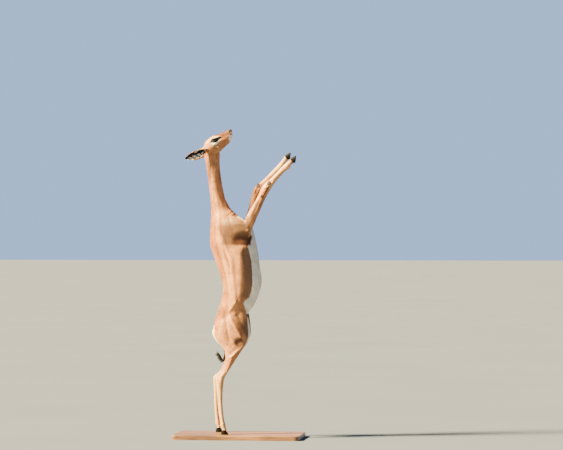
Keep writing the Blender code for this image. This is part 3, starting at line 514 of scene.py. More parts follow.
# %% Gland, nostrils and mouth
MOUTH = np.array(((-40, 2006), (-48, 2003.5), (-57, 1999.5), (-68, 1992.5), (-80, 1981), (-93, 1967))) / 1000
NOSTRIL = np.array(((-64, 2019.5), (-59, 2025), (-56, 2030))) / 1000
GLAND = (16, -0.5), (34, 1.5), (52, 2)
FACE_FORMS = (
    ("swelling of the gland", 6.8, 1.2, *GLAND),
    ("slit of the gland", 2.4, -3.8, *GLAND),
    ("cheek bone", 6.5, 1.8, (-12, -24), (24, -22), (66, -16)),
    ("edge of the nose bone", 7, 1.6, (20, 20), (60, 15), (96, 8)),
    ("hollow of the snout", 6.5, -1.8, (40, -8), (66, -7), (88, -6)),
    ("jaw muscle", 10, 2.6, (-44, -20), (-34, -38), (-12, -46)),
    ("hollow behind the eye", 7, -2, (-30, 6), (-26, -14), (-20, -28)),
)

points, normals = points_of(skin), normals_of(skin)
forward, up, out, almond, away = about_eye(points)
flat = points[:, [0, 2]]
facing_out = ramp(normals[:, 1] * np.sign(points[:, 1]), 0.0, 0.4)
face = np.stack([forward, up], 1)
push = relief(face, FACE_FORMS)
nostril = near_path(flat, NOSTRIL)[0]
push += 0.0014 * hump(nostril - 0.0036, 0.002) - 0.006 * hump(nostril, 0.0019)
mouth = near_path(flat, MOUTH)[0]
push += 0.0011 * hump(mouth - 0.0032, 0.0018) - 0.0028 * hump(mouth, 0.0011)
push = push * facing_out * on_head(points)
points = points + normals * push[:, None]
soften(skin, points, RIDGE_SOFTNESS * on_head(points), 2)
print("face points moved", int((np.abs(push) > 1e-4).sum()))

# %% [markdown]
# ## Ears
#
# An ear is a thin cupped sheet: nearly a tube at its root, widest halfway, and pointed at its tip. It is
# built as two layers of points, an outer and an inner one, joined round their rim. Both ears are set
# into the skull and united with the skin, so that no seam shows.

# %% Ears
EAR_ROOT = np.array((-0.216, 0.034, 1.906))
EAR_LENGTH, EAR_HALF_WIDTH, EAR_THICK = 0.1545, 0.026, 0.0024
EAR_DROOP, EAR_SPREAD, EAR_ROLL = math.radians(26.5), math.radians(20), math.radians(18)
EAR_STEPS = (0.0, 0.12, 0.3, 0.5, 0.7, 0.86, 0.95, 1.0)
EAR_WIDTHS = (0.6, 0.68, 0.9, 1.0, 0.9, 0.6, 0.3, 0.06)
EAR_ARCS = (160, 140, 100, 72, 58, 48, 40, 35)
back, down = math.cos(EAR_DROOP) * math.cos(EAR_SPREAD), math.sin(EAR_DROOP) * math.cos(EAR_SPREAD)
EAR_RUN = np.array((-back, math.sin(EAR_SPREAD), -down))
level = unit(np.array((0, 1, 0)) - EAR_RUN * EAR_RUN[1])
across = np.cross(EAR_RUN, level)
EAR_FACING = level * math.cos(EAR_ROLL) + across * math.sin(EAR_ROLL)
EAR_ACROSS = across * math.cos(EAR_ROLL) - level * math.sin(EAR_ROLL)


def ear_profile(t):
    """The cup at t along the ear: the angle to its edge, its radius and how far its back is moved."""
    arc = np.radians(np.interp(t, EAR_STEPS, EAR_ARCS))
    radius = EAR_HALF_WIDTH * np.interp(t, EAR_STEPS, EAR_WIDTHS) / np.sin(np.minimum(arc, math.pi / 2))
    return arc, radius, 0.006 - 0.01 * t


def ear_mesh(side):
    rows, columns = 56, 31
    t, s = np.meshgrid(np.linspace(-0.03, 1, rows), np.linspace(-1, 1, columns), indexing="ij")
    arc, radius, back = ear_profile(t)
    wave = 0.0007 * np.sin(t * 31 + s * 2) * np.abs(s) ** 3
    layers = []
    for off in (-0.5, 0.5):
        thick = EAR_THICK * (1 - 0.55 * s**2) * (1 - 0.35 * t)
        reach = np.maximum(radius + thick * off + wave, 0.0003)
        sideways = reach * np.sin(arc * s)
        lift = back + (radius - reach * np.cos(arc * s)) * 0.9
        place = EAR_ROOT + EAR_RUN * (EAR_LENGTH * t)[..., None]
        place = place + EAR_ACROSS * sideways[..., None] + EAR_FACING * lift[..., None]
        layers.append(place.reshape(-1, 3))
    points = np.concatenate(layers) * (1, side, 1)
    at = np.arange(rows * columns).reshape(rows, columns)
    size = rows * columns
    sheet = np.stack([at[:-1, :-1], at[:-1, 1:], at[1:, 1:], at[1:, :-1]], -1).reshape(-1, 4)
    rim = np.concatenate([at[:, 0], at[-1, 1:], at[-2::-1, -1], at[0, -2:0:-1]])
    turned = np.roll(rim, -1)
    edge = np.stack([rim, turned, turned + size, rim + size], -1)
    faces = np.concatenate([sheet, (sheet + size)[:, ::-1], edge])
    return mesh_from("ear", points, turned_out(points, faces))


ears = {side: ear_mesh(side) for side in (-1, 1)}
print("ear points", len(ears[1].vertices))

# %% [markdown]
# ## The tail, and one closed hide
#
# The tail is a bent tube that hangs from the rump and turns up at its end. Ears and tail are united
# with the skin by a Boolean, so that hide, ears and tail are one closed surface. A little smoothing
# round the joins gives them the soft fillets that flesh has. At last the hide moves inwards by the
# depth of the coat, so that the hair grows out to the size of the solids.

# %% Tail
TAIL_ROOT = (-0.146, 0.0, 0.735, 0.015)
TAIL_THINNING = ((0, 0.12, 0.35, 0.5, 0.85, 1), (0.9, 0.85, 0.56, 0.42, 0.4, 0.2))
JOIN_SOFTNESS, JOIN_STEPS = 0.9, 10


def smooth_line(rows, steps):
    """Rows of numbers with steps between each pair, on a smooth curve through them."""
    rows = np.array(rows, float)
    padded = np.concatenate([2 * rows[:1] - rows[1:2], rows, 2 * rows[-1:] - rows[-2:-1]])
    made = []
    for k in range(len(rows) - 1):
        a, b, c, d = padded[k : k + 4]
        for t in np.arange(steps) / steps:
            made.append(b + 0.5 * t * (c - a + t * (2 * a - 5 * b + 4 * c - d + t * (3 * (b - c) + d - a))))
    return np.array([*made, rows[-1]])


def ring_faces(rows, around):
    """Triangles between rings of points, and from the end rings to two last points, which close them."""
    at = np.arange(rows * around).reshape(rows, around)
    after = np.roll(at, -1, axis=1)
    low, high = np.full(around, rows * around), np.full(around, rows * around + 1)
    a, b, c, d = at[:-1].ravel(), after[:-1].ravel(), after[1:].ravel(), at[1:].ravel()
    corners = (a, b, c), (a, c, d), (after[0], at[0], low), (at[-1], after[-1], high)
    return np.concatenate([np.stack(three, 1) for three in corners])


def tube_mesh(rows, around):
    """A closed tube along rows of x, y, z and radius."""
    rows = np.array(rows)
    ways = unit(np.gradient(rows[:, :3], axis=0))
    side = unit(np.cross(ways, (0, 1, 0)))
    other = np.cross(ways, side)
    turn = np.arange(around) * 2 * math.pi / around
    ring = side[:, None] * np.cos(turn)[:, None] + other[:, None] * np.sin(turn)[:, None]
    points = (rows[:, None, :3] + ring * rows[:, None, 3:]).reshape(-1, 3)
    points = np.concatenate([points, rows[:1, :3], rows[-1:, :3]])
    return mesh_from("tube", points, ring_faces(len(rows), around))


tail_rows = smooth_line((TAIL_ROOT, *CENTRE_LINES["tail"]), 5)
tail_rows[:, 3] *= np.interp(np.linspace(0, 1, len(tail_rows)), *TAIL_THINNING)
tail = tube_mesh(tail_rows, 14)
print("tail points", len(tail.vertices))

# %% Unite
hide = show(skin, "hide")
others = [show(mesh, "part") for mesh in (ears[-1], ears[1], tail)]
for other in others:
    union = hide.modifiers.new("union", "BOOLEAN")
    union.object, union.operation, union.solver = other, "UNION", "MANIFOLD"
hide.modifiers.new("triangles", "TRIANGULATE")
skin = bpy.data.meshes.new_from_object(hide.evaluated_get(bpy.context.evaluated_depsgraph_get()))
for obj in (hide, *others):
    bpy.data.objects.remove(obj, do_unlink=True)

points = points_of(skin)
side_points = folded(points)
near_ear = hump(np.linalg.norm(side_points - EAR_ROOT - EAR_RUN * 0.012, axis=1), 0.02)
near_tail = hump(np.linalg.norm(points - TAIL_ROOT[:3] - (-0.008, 0, -0.02), axis=1), 0.022)
soften(skin, points, JOIN_SOFTNESS * np.clip(near_ear + near_tail, 0, 1), JOIN_STEPS)
print("hide points", len(points), "triangles", len(skin.polygons))

# %% [markdown]
# ## Reading the finished hide
#
# Everything that follows needs the same facts about each point of the hide: its part, how far along
# that part it is, the way its hair lies, and its place seen from the right side. Where two parts meet,
# the hair turns gradually, so the ways of all the near parts are mixed by how near they are.

# %% Sink the hide and read it
edges = edges_of(skin)
points, normals = points_of(skin), normals_of(skin)
found = [along_line(points, CENTRE_LINES[part]) for part in PARTS]
gaps = np.stack([gap for gap, _, _, _ in found], 1)
nearness = np.exp(-6 * (gaps - gaps.min(1, keepdims=True)))
nearness /= nearness.sum(1, keepdims=True)
share = {name: nearness[:, k] for k, name in enumerate(PARTS)}
along = {name: found[k][1] for k, name in enumerate(PARTS)}
ears_share = share["ear_right"] + share["ear_left"]
fore_share = share["foreleg_right"] + share["foreleg_left"]
hind_share = share["hind_right"] + share["hind_left"]

COAT_DEPTH = 0.002
thin = ramp(share["head"], 0.2, 0.8) + ears_share + ramp(along["hind_right"], 0.45, 0.6) * hind_share
thin += ramp(along["foreleg_right"], 0.3, 0.45) * fore_share
depth = COAT_DEPTH * (1 - 0.65 * np.clip(thin, 0, 1)) * (1 - ears_share) * (1 - share["tail"])
points = points - normals * depth[:, None]
put_points(skin, points)
normals = normals_of(skin)


def laid_flat(ways):
    """The ways turned to run along the hide."""
    ways = ways - normals * (ways * normals).sum(1, keepdims=True)
    return ways / np.maximum(np.linalg.norm(ways, axis=1, keepdims=True), 1e-6)


lie = sum(nearness[:, k : k + 1] * found[k][2] for k in range(len(PARTS)))
for step in range(6):
    lie = laid_flat(lie)
    lie = 0.4 * lie + 0.6 * neighbour_mean(lie, edges)
lie = laid_flat(lie)
print("coat depth up to", round(float(depth.max()), 4))

# %% [markdown]
# ## Markings
#
# A gerenuk has a rufous saddle down its back, fawn flanks with a dark lower edge, and a belly that is
# white up to a sharp line. A white ring surrounds each eye, and the knees and the end of the tail are
# dark. Each marking is a number from 0 to 1 at every point of the hide, worked out from where the point
# is, and the tufts take the numbers of the place where they grow.
# Some of these numbers are painted light rather than marks of the animal: painted shade on the front of the
# neck, the jaw, the shoulder and the thighs, in hollows, grooves and creases and in the open mouth, and
# painted highlights on the cheeks and, in part, along the edge of the saddle.

# %% Where each marking lies
# In millimetres: the height z, and x of the edge at that height.
SADDLE_EDGE = np.array((
    (620, -150), (720, -125), (800, -92), (890, -58), (980, -62), (1050, -74), (1155, -98), (1254, -132),
    (1333, -148), (1430, -146), (1500, -158), (1600, -172), (1740, -188), (1870, -210), (1920, -216),
)).T / 1000
BELLY_EDGE = np.array((
    (760, 75), (800, 68), (832, 60), (870, 48), (898, 41), (914, 49), (935, 77), (973, 89), (1028, 97),
    (1091, 95), (1175, 89), (1241, 74), (1274, 64), (1310, 70), (1345, 88),
)).T / 1000
DEW_CLAWS = (-0.107, -0.109, 0.09), (-0.172, 0.109, 0.09), (0.341, -0.056, 1.781), (0.283, 0.056, 1.778)

seen = as_right(points)
x, z = seen[:, 0], seen[:, 2]
flat, flat_here = seen[:, [0, 2]], points[:, [0, 2]]
wide = np.abs(points[:, 1])
outward = normals[:, 1] * np.sign(points[:, 1])
forward, up, out, almond, away = about_eye(points)
face = np.stack([forward, up], 1)
head, neck, trunk, tail_share = share["head"], share["neck"], share["trunk"], share["tail"]
facing_up = normals @ UPWARD
nose_way = points @ FORWARD
body = np.clip(neck + trunk + hind_share + 0.6 * head, 0, 1)


def spot(values, where, size):
    """1 at one place, dying away at about twice its size."""
    return hump(np.linalg.norm(values - np.array(where), axis=1), size)


def most(*masks):
    """The strongest of several markings at each point."""
    return np.clip(np.maximum.reduce(masks), 0, 1)


past_saddle = x - np.interp(z, *SADDLE_EDGE)
past_belly = x - np.interp(z, *BELLY_EDGE)
saddle = ramp(past_saddle, 0.008, -0.008) * ramp(z, 0.6, 0.78) * body * (1 - ears_share)
# A pale line just below the saddle's edge on the flank: partly the pale band the animal has there, partly a
# painted highlight of the sheen along the back.
pale = 0.42 * hump(past_saddle - 0.016, 0.014) * window(z, 0.88, 0.98, 1.16, 1.3) * body

belly = ramp(past_belly, -0.002, 0.003) * window(z, 0.79, 0.815, 1.36, 1.42) * ramp(fore_share, 0.6, 0.3)
groin = ramp(outward, 0.34, -0.1) * window(z, 0.58, 0.66, 0.85, 0.9) * ramp(x, -0.12, -0.06)
chest = ramp(wide, 0.046, 0.034) * window(z, 1.26, 1.3, 1.46, 1.482) * ramp(normals[:, 0], 0.0, 0.3)
inner_arm = 0.5 * ramp(outward, 0.0, -0.4) * fore_share * ramp(z, 1.47, 1.43)
backward = -normals[:, 0]
rump = ramp(wide, 0.046, 0.032) * window(z, 0.68, 0.7, 0.742, 0.762) * ramp(backward, 0.15, 0.5)
buttock = ramp(wide, 0.03, 0.018) * window(z, 0.58, 0.62, 0.69, 0.71) * ramp(backward, -0.1, 0.2)
eye_ring = ramp(np.hypot(forward / 0.0275, (up + 0.008) / 0.022), 1.1, 0.9) * (almond < 9)
eye_streak = most(
    spindle(face, ((0.006, -0.026), (0.028, -0.018), (0.052, -0.006)), 0.0048),
    spindle(face, ((-0.008, 0.02), (0.024, 0.013), (0.048, 0.0095)), 0.0036),
) * (out > -0.02)
lips = 0.8 * hump(near_path(flat_here, MOUTH)[0], 0.0044) * ramp(nose_way, 0.748, 0.765)
chin = ramp(facing_up, 0.0, -0.5) * ramp(nose_way, 0.765, 0.785) * head
muzzle = 0.8 * ramp(nose_way, 0.8, 0.808) * head * ramp(up, 0.012, 0.004)
tail_side = 0.3 * tail_share * ramp(along["tail"], 0.5, 0.3) * ramp(outward, -0.1, 0.5)
inner_leg = 0.25 * ramp(outward, -0.1, -0.6) * hind_share * ramp(z, 0.62, 0.54)
white = most(belly, groin * hind_share, groin * trunk, chest, inner_arm, rump, buttock, eye_ring,
             eye_streak, lips, chin, muzzle, tail_side, inner_leg)

brow = spindle(face, ((-0.034, 0.01), (-0.012, 0.023), (0.02, 0.018), (0.04, 0.012)), 0.0052)
# Painted highlight: a pale patch below the eye, where the cheek muscle catches the light.
cheek = 0.8 * spindle(face, ((-0.01, -0.036), (0.006, -0.048), (0.01, -0.062)), 0.008)
down_foreleg = along["foreleg_right"]
shin = 0.48 * (hind_share * ramp(z, 0.56, 0.4) + fore_share * ramp(down_foreleg, 0.5, 0.62))
on_cheek = head * (out > -0.03)
pale = most(pale, brow * on_cheek, cheek * on_cheek, shin, 0.2 * neck * ramp(x, -0.13, -0.17))

# The darker lower edge of the flank: partly the animal's own dark band, partly painted shade where the flank
# turns away from the light, which widens it.
flank_band_and_shade = ramp(past_belly, -0.092, -0.014) * window(z, 0.9, 0.96, 1.24, 1.3) * trunk
on_side = ramp(outward, 0.2, 0.6)
# Painted shade on the shoulder, which faces away from the light. It darkens both the band layer and the brown
# layer.
shoulder = 0.8 * window(z, 1.27, 1.29, 1.44, 1.49) * window(x, -0.125, -0.085, 0.06, 0.1)
# Painted shade on the front of the thigh, which turns away from the light, and in the hollow of the thigh.
thigh_edge = np.interp(z, (0.68, 0.82), (0.026, -0.05))
thigh_front_shade = 0.74 * ramp(x - thigh_edge, 0.014, 0.044) * window(z, 0.6, 0.68, 0.8, 0.88)
thigh_hollow_shade = 0.9 * ramp(np.hypot((x - 0.01) / 0.03, (z - 0.646) / 0.04), 1.2, 0.6)
outer_thigh = hind_share * ramp(outward, 0.1, 0.5)
# Painted shade: a darker patch at the base of the neck, and the front of the neck and the underside of the
# jaw, which face away from the light.
neck_shade = 0.62 * hump(np.hypot((x + 0.094) / 1.0, (z - 1.528) / 1.6), 0.026) * on_side
neck_edge = np.interp(z, (1.53, 1.6, 1.73, 1.9), (-0.1, -0.134, -0.156, -0.172))
neck_front_shade = 0.47 * ramp(x - neck_edge, 0.004, 0.022) * ramp(z, 1.5, 1.56) * neck
jaw_shade = 0.47 * head * ramp(up, -0.022, -0.034) * ramp(nose_way, 0.8, 0.78)
# Together these make the dark band layer: the flank's own dark edge, and painted shade everywhere else.
dark_band_and_shade = most(flank_band_and_shade, neck_shade, shoulder * on_side, thigh_front_shade * hind_share,
            thigh_hollow_shade * outer_thigh, neck_front_shade, jaw_shade)
nose_bridge = ramp(wide, 0.032, 0.024) * ramp(facing_up, -0.15, 0.15) * ramp(nose_way, 0.694, 0.712) * head
crown = ramp(wide, 0.032, 0.018) * ramp(facing_up, 0.1, 0.5) * window(nose_way, 0.63, 0.646, 0.664, 0.68)
crown *= head
saddle = most(saddle, nose_bridge)

face_streak = 0.9 * spindle(face, ((0.075, -0.006), (0.086, -0.007)), 0.0036) * (out > -0.03)
knee_right = most(
    1.2 * spot(flat_here, (0.2045, 1.676), 0.011),
    1.1 * spot(flat_here, (0.161, 1.587), 0.0085),
    0.75 * spindle(flat_here, ((0.166, 1.59), (0.192, 1.63), (0.212, 1.672)), 0.0045),
)
knee_left = most(
    1.2 * spot(flat_here, (0.118, 1.664), 0.0125),
    0.7 * spindle(flat_here, ((0.094, 1.6), (0.102, 1.63), (0.118, 1.66)), 0.006),
)
knee_tuft = most(knee_right * (points[:, 1] < 0) * ramp(outward, -0.2, 0.3), knee_left * (points[:, 1] > 0))
fetlock = 0.55 * (hind_share * ramp(z, 0.075, 0.055) + fore_share * ramp(down_foreleg, 0.93, 0.97))
# Painted shade in brown: the shadow that the raised upper arm casts on the ribs, the groove before the heel
# tendon, the front of the hock, the hollow of the thigh, and the shoulder, which faces away from the light.
arm_hollow_shadow = 0.72 * window(z, 1.272, 1.29, 1.32, 1.4) * window(x, -0.11, 0.0, 0.078, 0.092) * on_side
heel_groove_shade = 0.8 * spindle(flat, ((-0.076, 0.514), (-0.1, 0.46), (-0.126, 0.398)), 0.0042)
hock_front_shade = 0.45 * spot(flat, (-0.096, 0.346), 0.012)
thigh_hollow_brown_shade = 0.6 * ramp(np.hypot((x - 0.014) / 0.024, (z - 0.644) / 0.036), 1.2, 0.7)
shoulder_brown_shade = 0.575 * shoulder * on_side * ramp(z, 1.45, 1.4) * ramp(x, 0.07, 0.03)
# The brown layer holds the animal's dark crown, nose bridge, knee tufts and fetlocks, a streak on the muzzle,
# and the painted shade above.
brown = most(0.85 * crown, 0.62 * nose_bridge, face_streak * head, knee_tuft * fore_share, fetlock,
             arm_hollow_shadow, heel_groove_shade * hind_share, hock_front_shade * hind_share, thigh_hollow_brown_shade * outer_thigh,
             shoulder_brown_shade)

eye_patch = np.hypot((x - EYE_PLACE[0] - 0.0055) / 0.0235, (z - EYE_PLACE[2]) / 0.013)
lid_line = most(ramp(almond, 1.86, 1.64), 1.4 * ramp(eye_patch, 1.15, 0.85) * (almond < 9))
lid_line = most(lid_line, spindle(face, ((-0.026, -0.004), (-0.016, -0.004)), 0.006) * (out > 0)) * head
gland = 1.6 * spindle(face, np.array(GLAND) / 1000, 0.0076) * head * (out > -0.02)
nostril = hump(near_path(flat_here, NOSTRIL)[0], 0.0042) * head
# The mouth line: a dark line between the lips, widened towards the corner into painted shade inside the
# partly open mouth.
mouth_line = hump(near_path(flat_here, MOUTH)[0], 0.0014 + 0.002 * ramp(nose_way, 0.792, 0.776)) * head
tail_dark = tail_share * ramp(along["tail"], 0.46, 0.6)
# Painted shadow: a black line in the deep crease between the elbow and the belly.
armpit = 0.9 * spindle(flat, ((0.093, 1.352), (0.08, 1.318), (0.066, 1.284)), 0.0046) * trunk
groin_spot = spot(flat, (0.056, 0.812), 0.009) * ramp(wide, 0.06, 0.04)
dew = [1.2 * spot(points, place, 0.009) * ramp(wide, 0.0, 0.01) for place in DEW_CLAWS]
temple = head * (outward > 0.2)
temple_dark = 0.62 * spindle(flat_here, ((-0.233, 1.908), (-0.208, 1.929)), 0.0038) * temple
temple_white = 0.85 * spindle(flat_here, ((-0.222, 1.902), (-0.195, 1.921)), 0.0036) * temple
white = most(white, temple_white)
# The black layer is the animal's own black marks, with painted shade in the mouth and in the armpit crease.
black = most(lid_line, gland, temple_dark, nostril, mouth_line, tail_dark, armpit, groin_spot, *dew)
print("white", round(float(white.mean()), 2), "saddle", round(float(saddle.mean()), 2))

# %% Inside and outside of the ears
ear_side = side_points - EAR_ROOT
ear_t = np.clip(ear_side @ EAR_RUN / EAR_LENGTH, 0, 1)
arc, radius, back = ear_profile(ear_t)
sideways, lift = ear_side @ EAR_ACROSS, ear_side @ EAR_FACING
reach = np.hypot(sideways, radius - (lift - back) / 0.9)
ear_angle = np.arctan2(sideways, radius - (lift - back) / 0.9) / arc
inner = (reach < radius) * ears_share * ramp(ear_t, 0.0, 0.06)
upper_rim = ears_share * ramp(ear_angle, -0.6, -0.78)
lower_rim = ears_share * ramp(ear_angle, 0.86, 0.96) * ramp(ear_t, 0.25, 0.45)
tip = ears_share * ramp(ear_t, 0.86, 0.96)
root_white = spot(flat_here, (-0.25, 1.871), 0.0065) * (1 - inner)
root_brown = spot(flat_here, (-0.238, 1.868), 0.0055) * (1 - inner)
black = most(black, 0.95 * inner * ramp(ear_t, 0.02, 0.14) * (1 - upper_rim), 0.6 * lower_rim, 0.9 * tip)
white = most(white, 0.8 * inner * ramp(ear_t, 0.2, 0.02), root_white) * (1 - 0.8 * black)
brown = most(brown, 0.9 * root_brown)
pale = most(pale, 0.45 * ears_share * (1 - inner))
MARKS = {"white": white, "pale": pale, "saddle": saddle, "dark_band_and_shade": dark_band_and_shade, "brown": brown, "black": black}
print("inside the ears", int((inner > 0.5).sum()))

# %% [markdown]
# ## Shader maths as ordinary expressions
#
# A finish is a network of nodes. Wrapping each socket in a small class lets the network be written as
# ordinary sums, and each operator adds one Math node. Colours are mixed with Mix nodes, because a Math
# node would turn them grey. Every other node comes from one method that sets its settings first. The
# sky is a network too, and it is made with the same methods.


# %% A socket that can be added and multiplied
class Wire:
    """A socket in a finish, which takes part in ordinary sums."""

    def __init__(self, finish, socket):
        self.finish, self.socket = finish, socket


def maths(operation, turned=False):
    """An operator that adds one Math node. turned puts the other value first."""

    def operator(wire, other):
        first, second = (other, wire) if turned else (wire, other)
        return wire.finish.node("ShaderNodeMath", {"operation": operation}, {0: first, 1: second})

    return operator


Wire.__add__, Wire.__radd__ = maths("ADD"), maths("ADD", turned=True)
Wire.__sub__, Wire.__rsub__ = maths("SUBTRACT"), maths("SUBTRACT", turned=True)
Wire.__mul__, Wire.__rmul__ = maths("MULTIPLY"), maths("MULTIPLY", turned=True)
Wire.__pow__ = maths("POWER")


def colour(text):
    """A colour as it is seen on a screen, turned into the light values that a shader uses."""
    values = [int(text[k : k + 2], 16) / 255 for k in (0, 2, 4)]
    return (*[v / 12.92 if v < 0.04045 else ((v + 0.055) / 1.055) ** 2.4 for v in values], 1)


def pick(sockets, key):
    """The socket with this number, identifier or name."""
    return sockets[key] if isinstance(key, int) else next(s for s in sockets if key in (s.identifier, s.name))


class Nodes:
    """A network of nodes, of a material or of the sky, and a way to add nodes to it."""

    def __init__(self, owner):
        owner.use_nodes = True
        self.tree = owner.node_tree

    def node(self, kind, settings=None, sockets=None, output=0):
        made = self.tree.nodes.new(kind)
        for key, value in (settings or {}).items():
            setattr(made, key, value)
        for key, value in (sockets or {}).items():
            self.feed(made, key, value)
        return Wire(self, pick(made.outputs, output))

    def feed(self, node, key, value):
        """Links a wire to a socket of a node, or sets the socket's own value."""
        if isinstance(value, Wire):
            self.tree.links.new(value.socket, pick(node.inputs, key))
        else:
            pick(node.inputs, key).default_value = value

    def mix(self, share, first, second):
        """The colour first where share is 0, and second where it is 1."""
        sockets = {"Factor_Float": share, "A_Color": first, "B_Color": second}
        return self.node("ShaderNodeMix", {"data_type": "RGBA"}, sockets, "Result_Color")


class Finish(Nodes):
    """A material with one Principled shader."""

    def __init__(self, name, **constants):
        self.material = bpy.data.materials.new(name)
        super().__init__(self.material)
        self.shader = self.tree.nodes["Principled BSDF"]
        for key, value in constants.items():
            self.feed(self.shader, key.replace("_", " "), value)

    def mark(self, name):
        return self.node("ShaderNodeAttribute", {"attribute_name": name}, output="Fac")

    def place(self, stretch=(1, 1, 1), turn=(0, 0, 0)):
        """The place on the object, turned and then squeezed along each axis."""
        at = self.node("ShaderNodeTexCoord", output="Object")
        return self.node("ShaderNodeMapping", {}, {"Vector": at, "Rotation": turn, "Scale": stretch})

    def noise(self, place, scale, detail=3.0, roughness=0.55):
        sockets = {"Vector": place, "Scale": scale, "Detail": detail, "Roughness": roughness}
        return self.node("ShaderNodeTexNoise", {}, sockets, "Fac")

    def slope(self, value, low, high):
        """0 below low, 1 above high, with a smooth slope between."""
        sockets = {"Value": value, "From Min": low, "From Max": high}
        return self.node("ShaderNodeMapRange", {"interpolation_type": "SMOOTHSTEP"}, sockets, "Result")

    def done(self, base, roughness, height, strength, distance):
        """The material with this colour, this roughness and a bump of this height."""
        sockets = {"Height": height, "Strength": strength, "Distance": distance}
        self.feed(self.shader, "Base Color", base)
        self.feed(self.shader, "Roughness", roughness)
        self.feed(self.shader, "Normal", self.node("ShaderNodeBump", {}, sockets))
        return self.material


print("shader helpers ready")

# %% [markdown]
# ## Hide and hair
#
# Hide and tufts share one recipe for colour, so that a gap between tufts never shows as a hole. Each
# marking mixes in its own colour, and fine noise stretched along the hair breaks its edge. Three
# versions of that noise are stretched along the trunk, the raised forelegs and the face, because the
# hair lies another way on each. The short coat is sleek, so its roughness is lowest on the back.

# %% The coat's recipe
COAT_COLOURS = {
    "fawn": "cc8650", "fawn_dark": "96603c", "pale": "e8c084", "saddle": "b0662c",
    "saddle_dark": "7c421e", "dark_band_and_shade": "5c4332", "white": "fbf1e0", "white_shade": "dccfba",
    "brown": "46200c", "black": "15110e",
}


def coat_finish(name, hair):
    """The coat's material. hair is True for tufts, which carry a tone and a place along the tuft."""
    finish = Finish(name, Sheen_Weight=0.05, Sheen_Roughness=0.4, Specular_IOR_Level=0.3)
    streaks = [
        finish.noise(finish.place((1, 1, 0.1)), 520.0),
        finish.noise(finish.place((1, 1, 0.12), (0, math.radians(-38), 0)), 520.0),
        finish.noise(finish.place((0.12, 1, 1), (0, HEAD_TILT, 0)), 620.0),
    ]
    grain = streaks[0]
    for streak, region in zip(streaks[1:], ("fore", "face")):
        sockets = {"Factor_Float": finish.mark(region), "A_Float": grain, "B_Float": streak}
        grain = finish.node("ShaderNodeMix", {"data_type": "FLOAT"}, sockets, "Result_Float")
    patches = finish.noise(finish.place(), 14.0, 2.0)
    lean = (grain - 0.5) * 0.5 + (patches - 0.5) * 0.35
    tint = finish.slope(patches + (grain - 0.5) * 0.6, 0.3, 0.75)
    shades = {name: colour(text) for name, text in COAT_COLOURS.items()}
    base = finish.mix(tint, shades["fawn"], shades["fawn_dark"])
    # The dark band layer is mostly painted shade. The brown and black layers also carry painted shade in
    # hollows and creases besides real marks, and the pale layer is partly a painted highlight on the cheek
    # and along the saddle.
    layers = (
        ("dark_band_and_shade", finish.mix(tint * 0.6, shades["dark_band_and_shade"], shades["fawn_dark"]), 0.85),
        ("pale", shades["pale"], 0.85),
        ("saddle", finish.mix(tint, shades["saddle"], shades["saddle_dark"]), 1.0),
        ("white", finish.mix(tint, shades["white"], shades["white_shade"]), 1.0),
        ("brown", shades["brown"], 1.0),
        ("black", shades["black"], 1.0),
    )
    for mark, shade, most_share in layers:
        edge = finish.slope(finish.mark(mark) + lean * 0.5, 0.28, 0.72)
        base = finish.mix(edge * most_share, base, shade)
    if hair:
        tip, tone = finish.mark("tip"), finish.mark("tone")
        root_shade = (1 - tip) * tone * 0.12 * (1 - finish.mark("white"))
        base = finish.mix(root_shade, base, shades["saddle_dark"])
        lit_tip = tip * tone * 0.14 * (1 - finish.mark("black")) * (1 - finish.mark("brown"))
        base = finish.mix(lit_tip, base, shades["pale"])
    dull = finish.mark("white") * 0.2 + finish.mark("brown") * 0.22 + finish.mark("black") * 0.45
    sleek = finish.slope(finish.mark("saddle") + finish.mark("pale") * 0.5, 0.0, 1.0)
    rough = 0.37 - sleek * 0.03 + dull + (grain - 0.5) * 0.16
    return finish.done(base, rough, grain + patches * 0.4, 0.35, 0.0012 if hair else 0.0022)


hide_finish = coat_finish("hide", False)
hair_finish = coat_finish("hair", True)
print("coat nodes", len(hair_finish.node_tree.nodes))

# %% Dress the hide
hide = show(skin, "hide")
skin.materials.clear()
skin.materials.append(hide_finish)
shade_smooth(skin)
REGION_MARKS = {"fore": fore_share, "face": share["head"]}


def write_marks(mesh, marks):
    """Each marking as a named number at every point of the mesh."""
    for name, values in marks.items():
        layer = mesh.attributes.new(name, "FLOAT", "POINT")
        layer.data.foreach_set("value", np.asarray(values, np.float32))


write_marks(skin, {**MARKS, **REGION_MARKS})
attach(hide, "root")
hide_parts(*[n for n in FLESH if not n.startswith("eye")], "ear_left", "ear_right", "tail")
print("hide triangles", len(skin.polygons))

# %% [markdown]
# ## Tufts
#
# Short hair lies flat in small pointed tufts that overlap like tiles. A tuft is a closed blade of seven
# points: a triangle at its root, another halfway, and a tip. Thousands are made at once with arrays:
# the roots are scattered over the hide by area, then the middle and the tip of each tuft are laid back
# onto the hide, so that tufts hug every curve. Long tufts have more rings and stand out more.

# %% Scatter and lay tufts
skin_triangles = triangles_of(skin)
corners = points[skin_triangles]
first, second, third = corners.transpose(1, 0, 2)
skin_area = np.linalg.norm(np.cross(second - first, third - first), axis=1) / 2
surface = BVHTree.FromPolygons(points.tolist(), skin_triangles.tolist())


def scatter(count, weight):
    """Roots over the hide, as thick as weight says: the triangle of each and its place in it."""
    chance = skin_area * weight[skin_triangles].mean(1)
    chosen = rng.choice(len(chance), count, p=chance / chance.sum())
    a, b = rng.random(count), rng.random(count)
    over = a + b > 1
    a[over], b[over] = 1 - a[over], 1 - b[over]
    return skin_triangles[chosen], np.stack([1 - a - b, a, b], 1)


def at_roots(values, roots):
    triangles, parts_of = roots
    return (values[triangles] * parts_of.reshape(*parts_of.shape, *[1] * (values.ndim - 1))).sum(1)


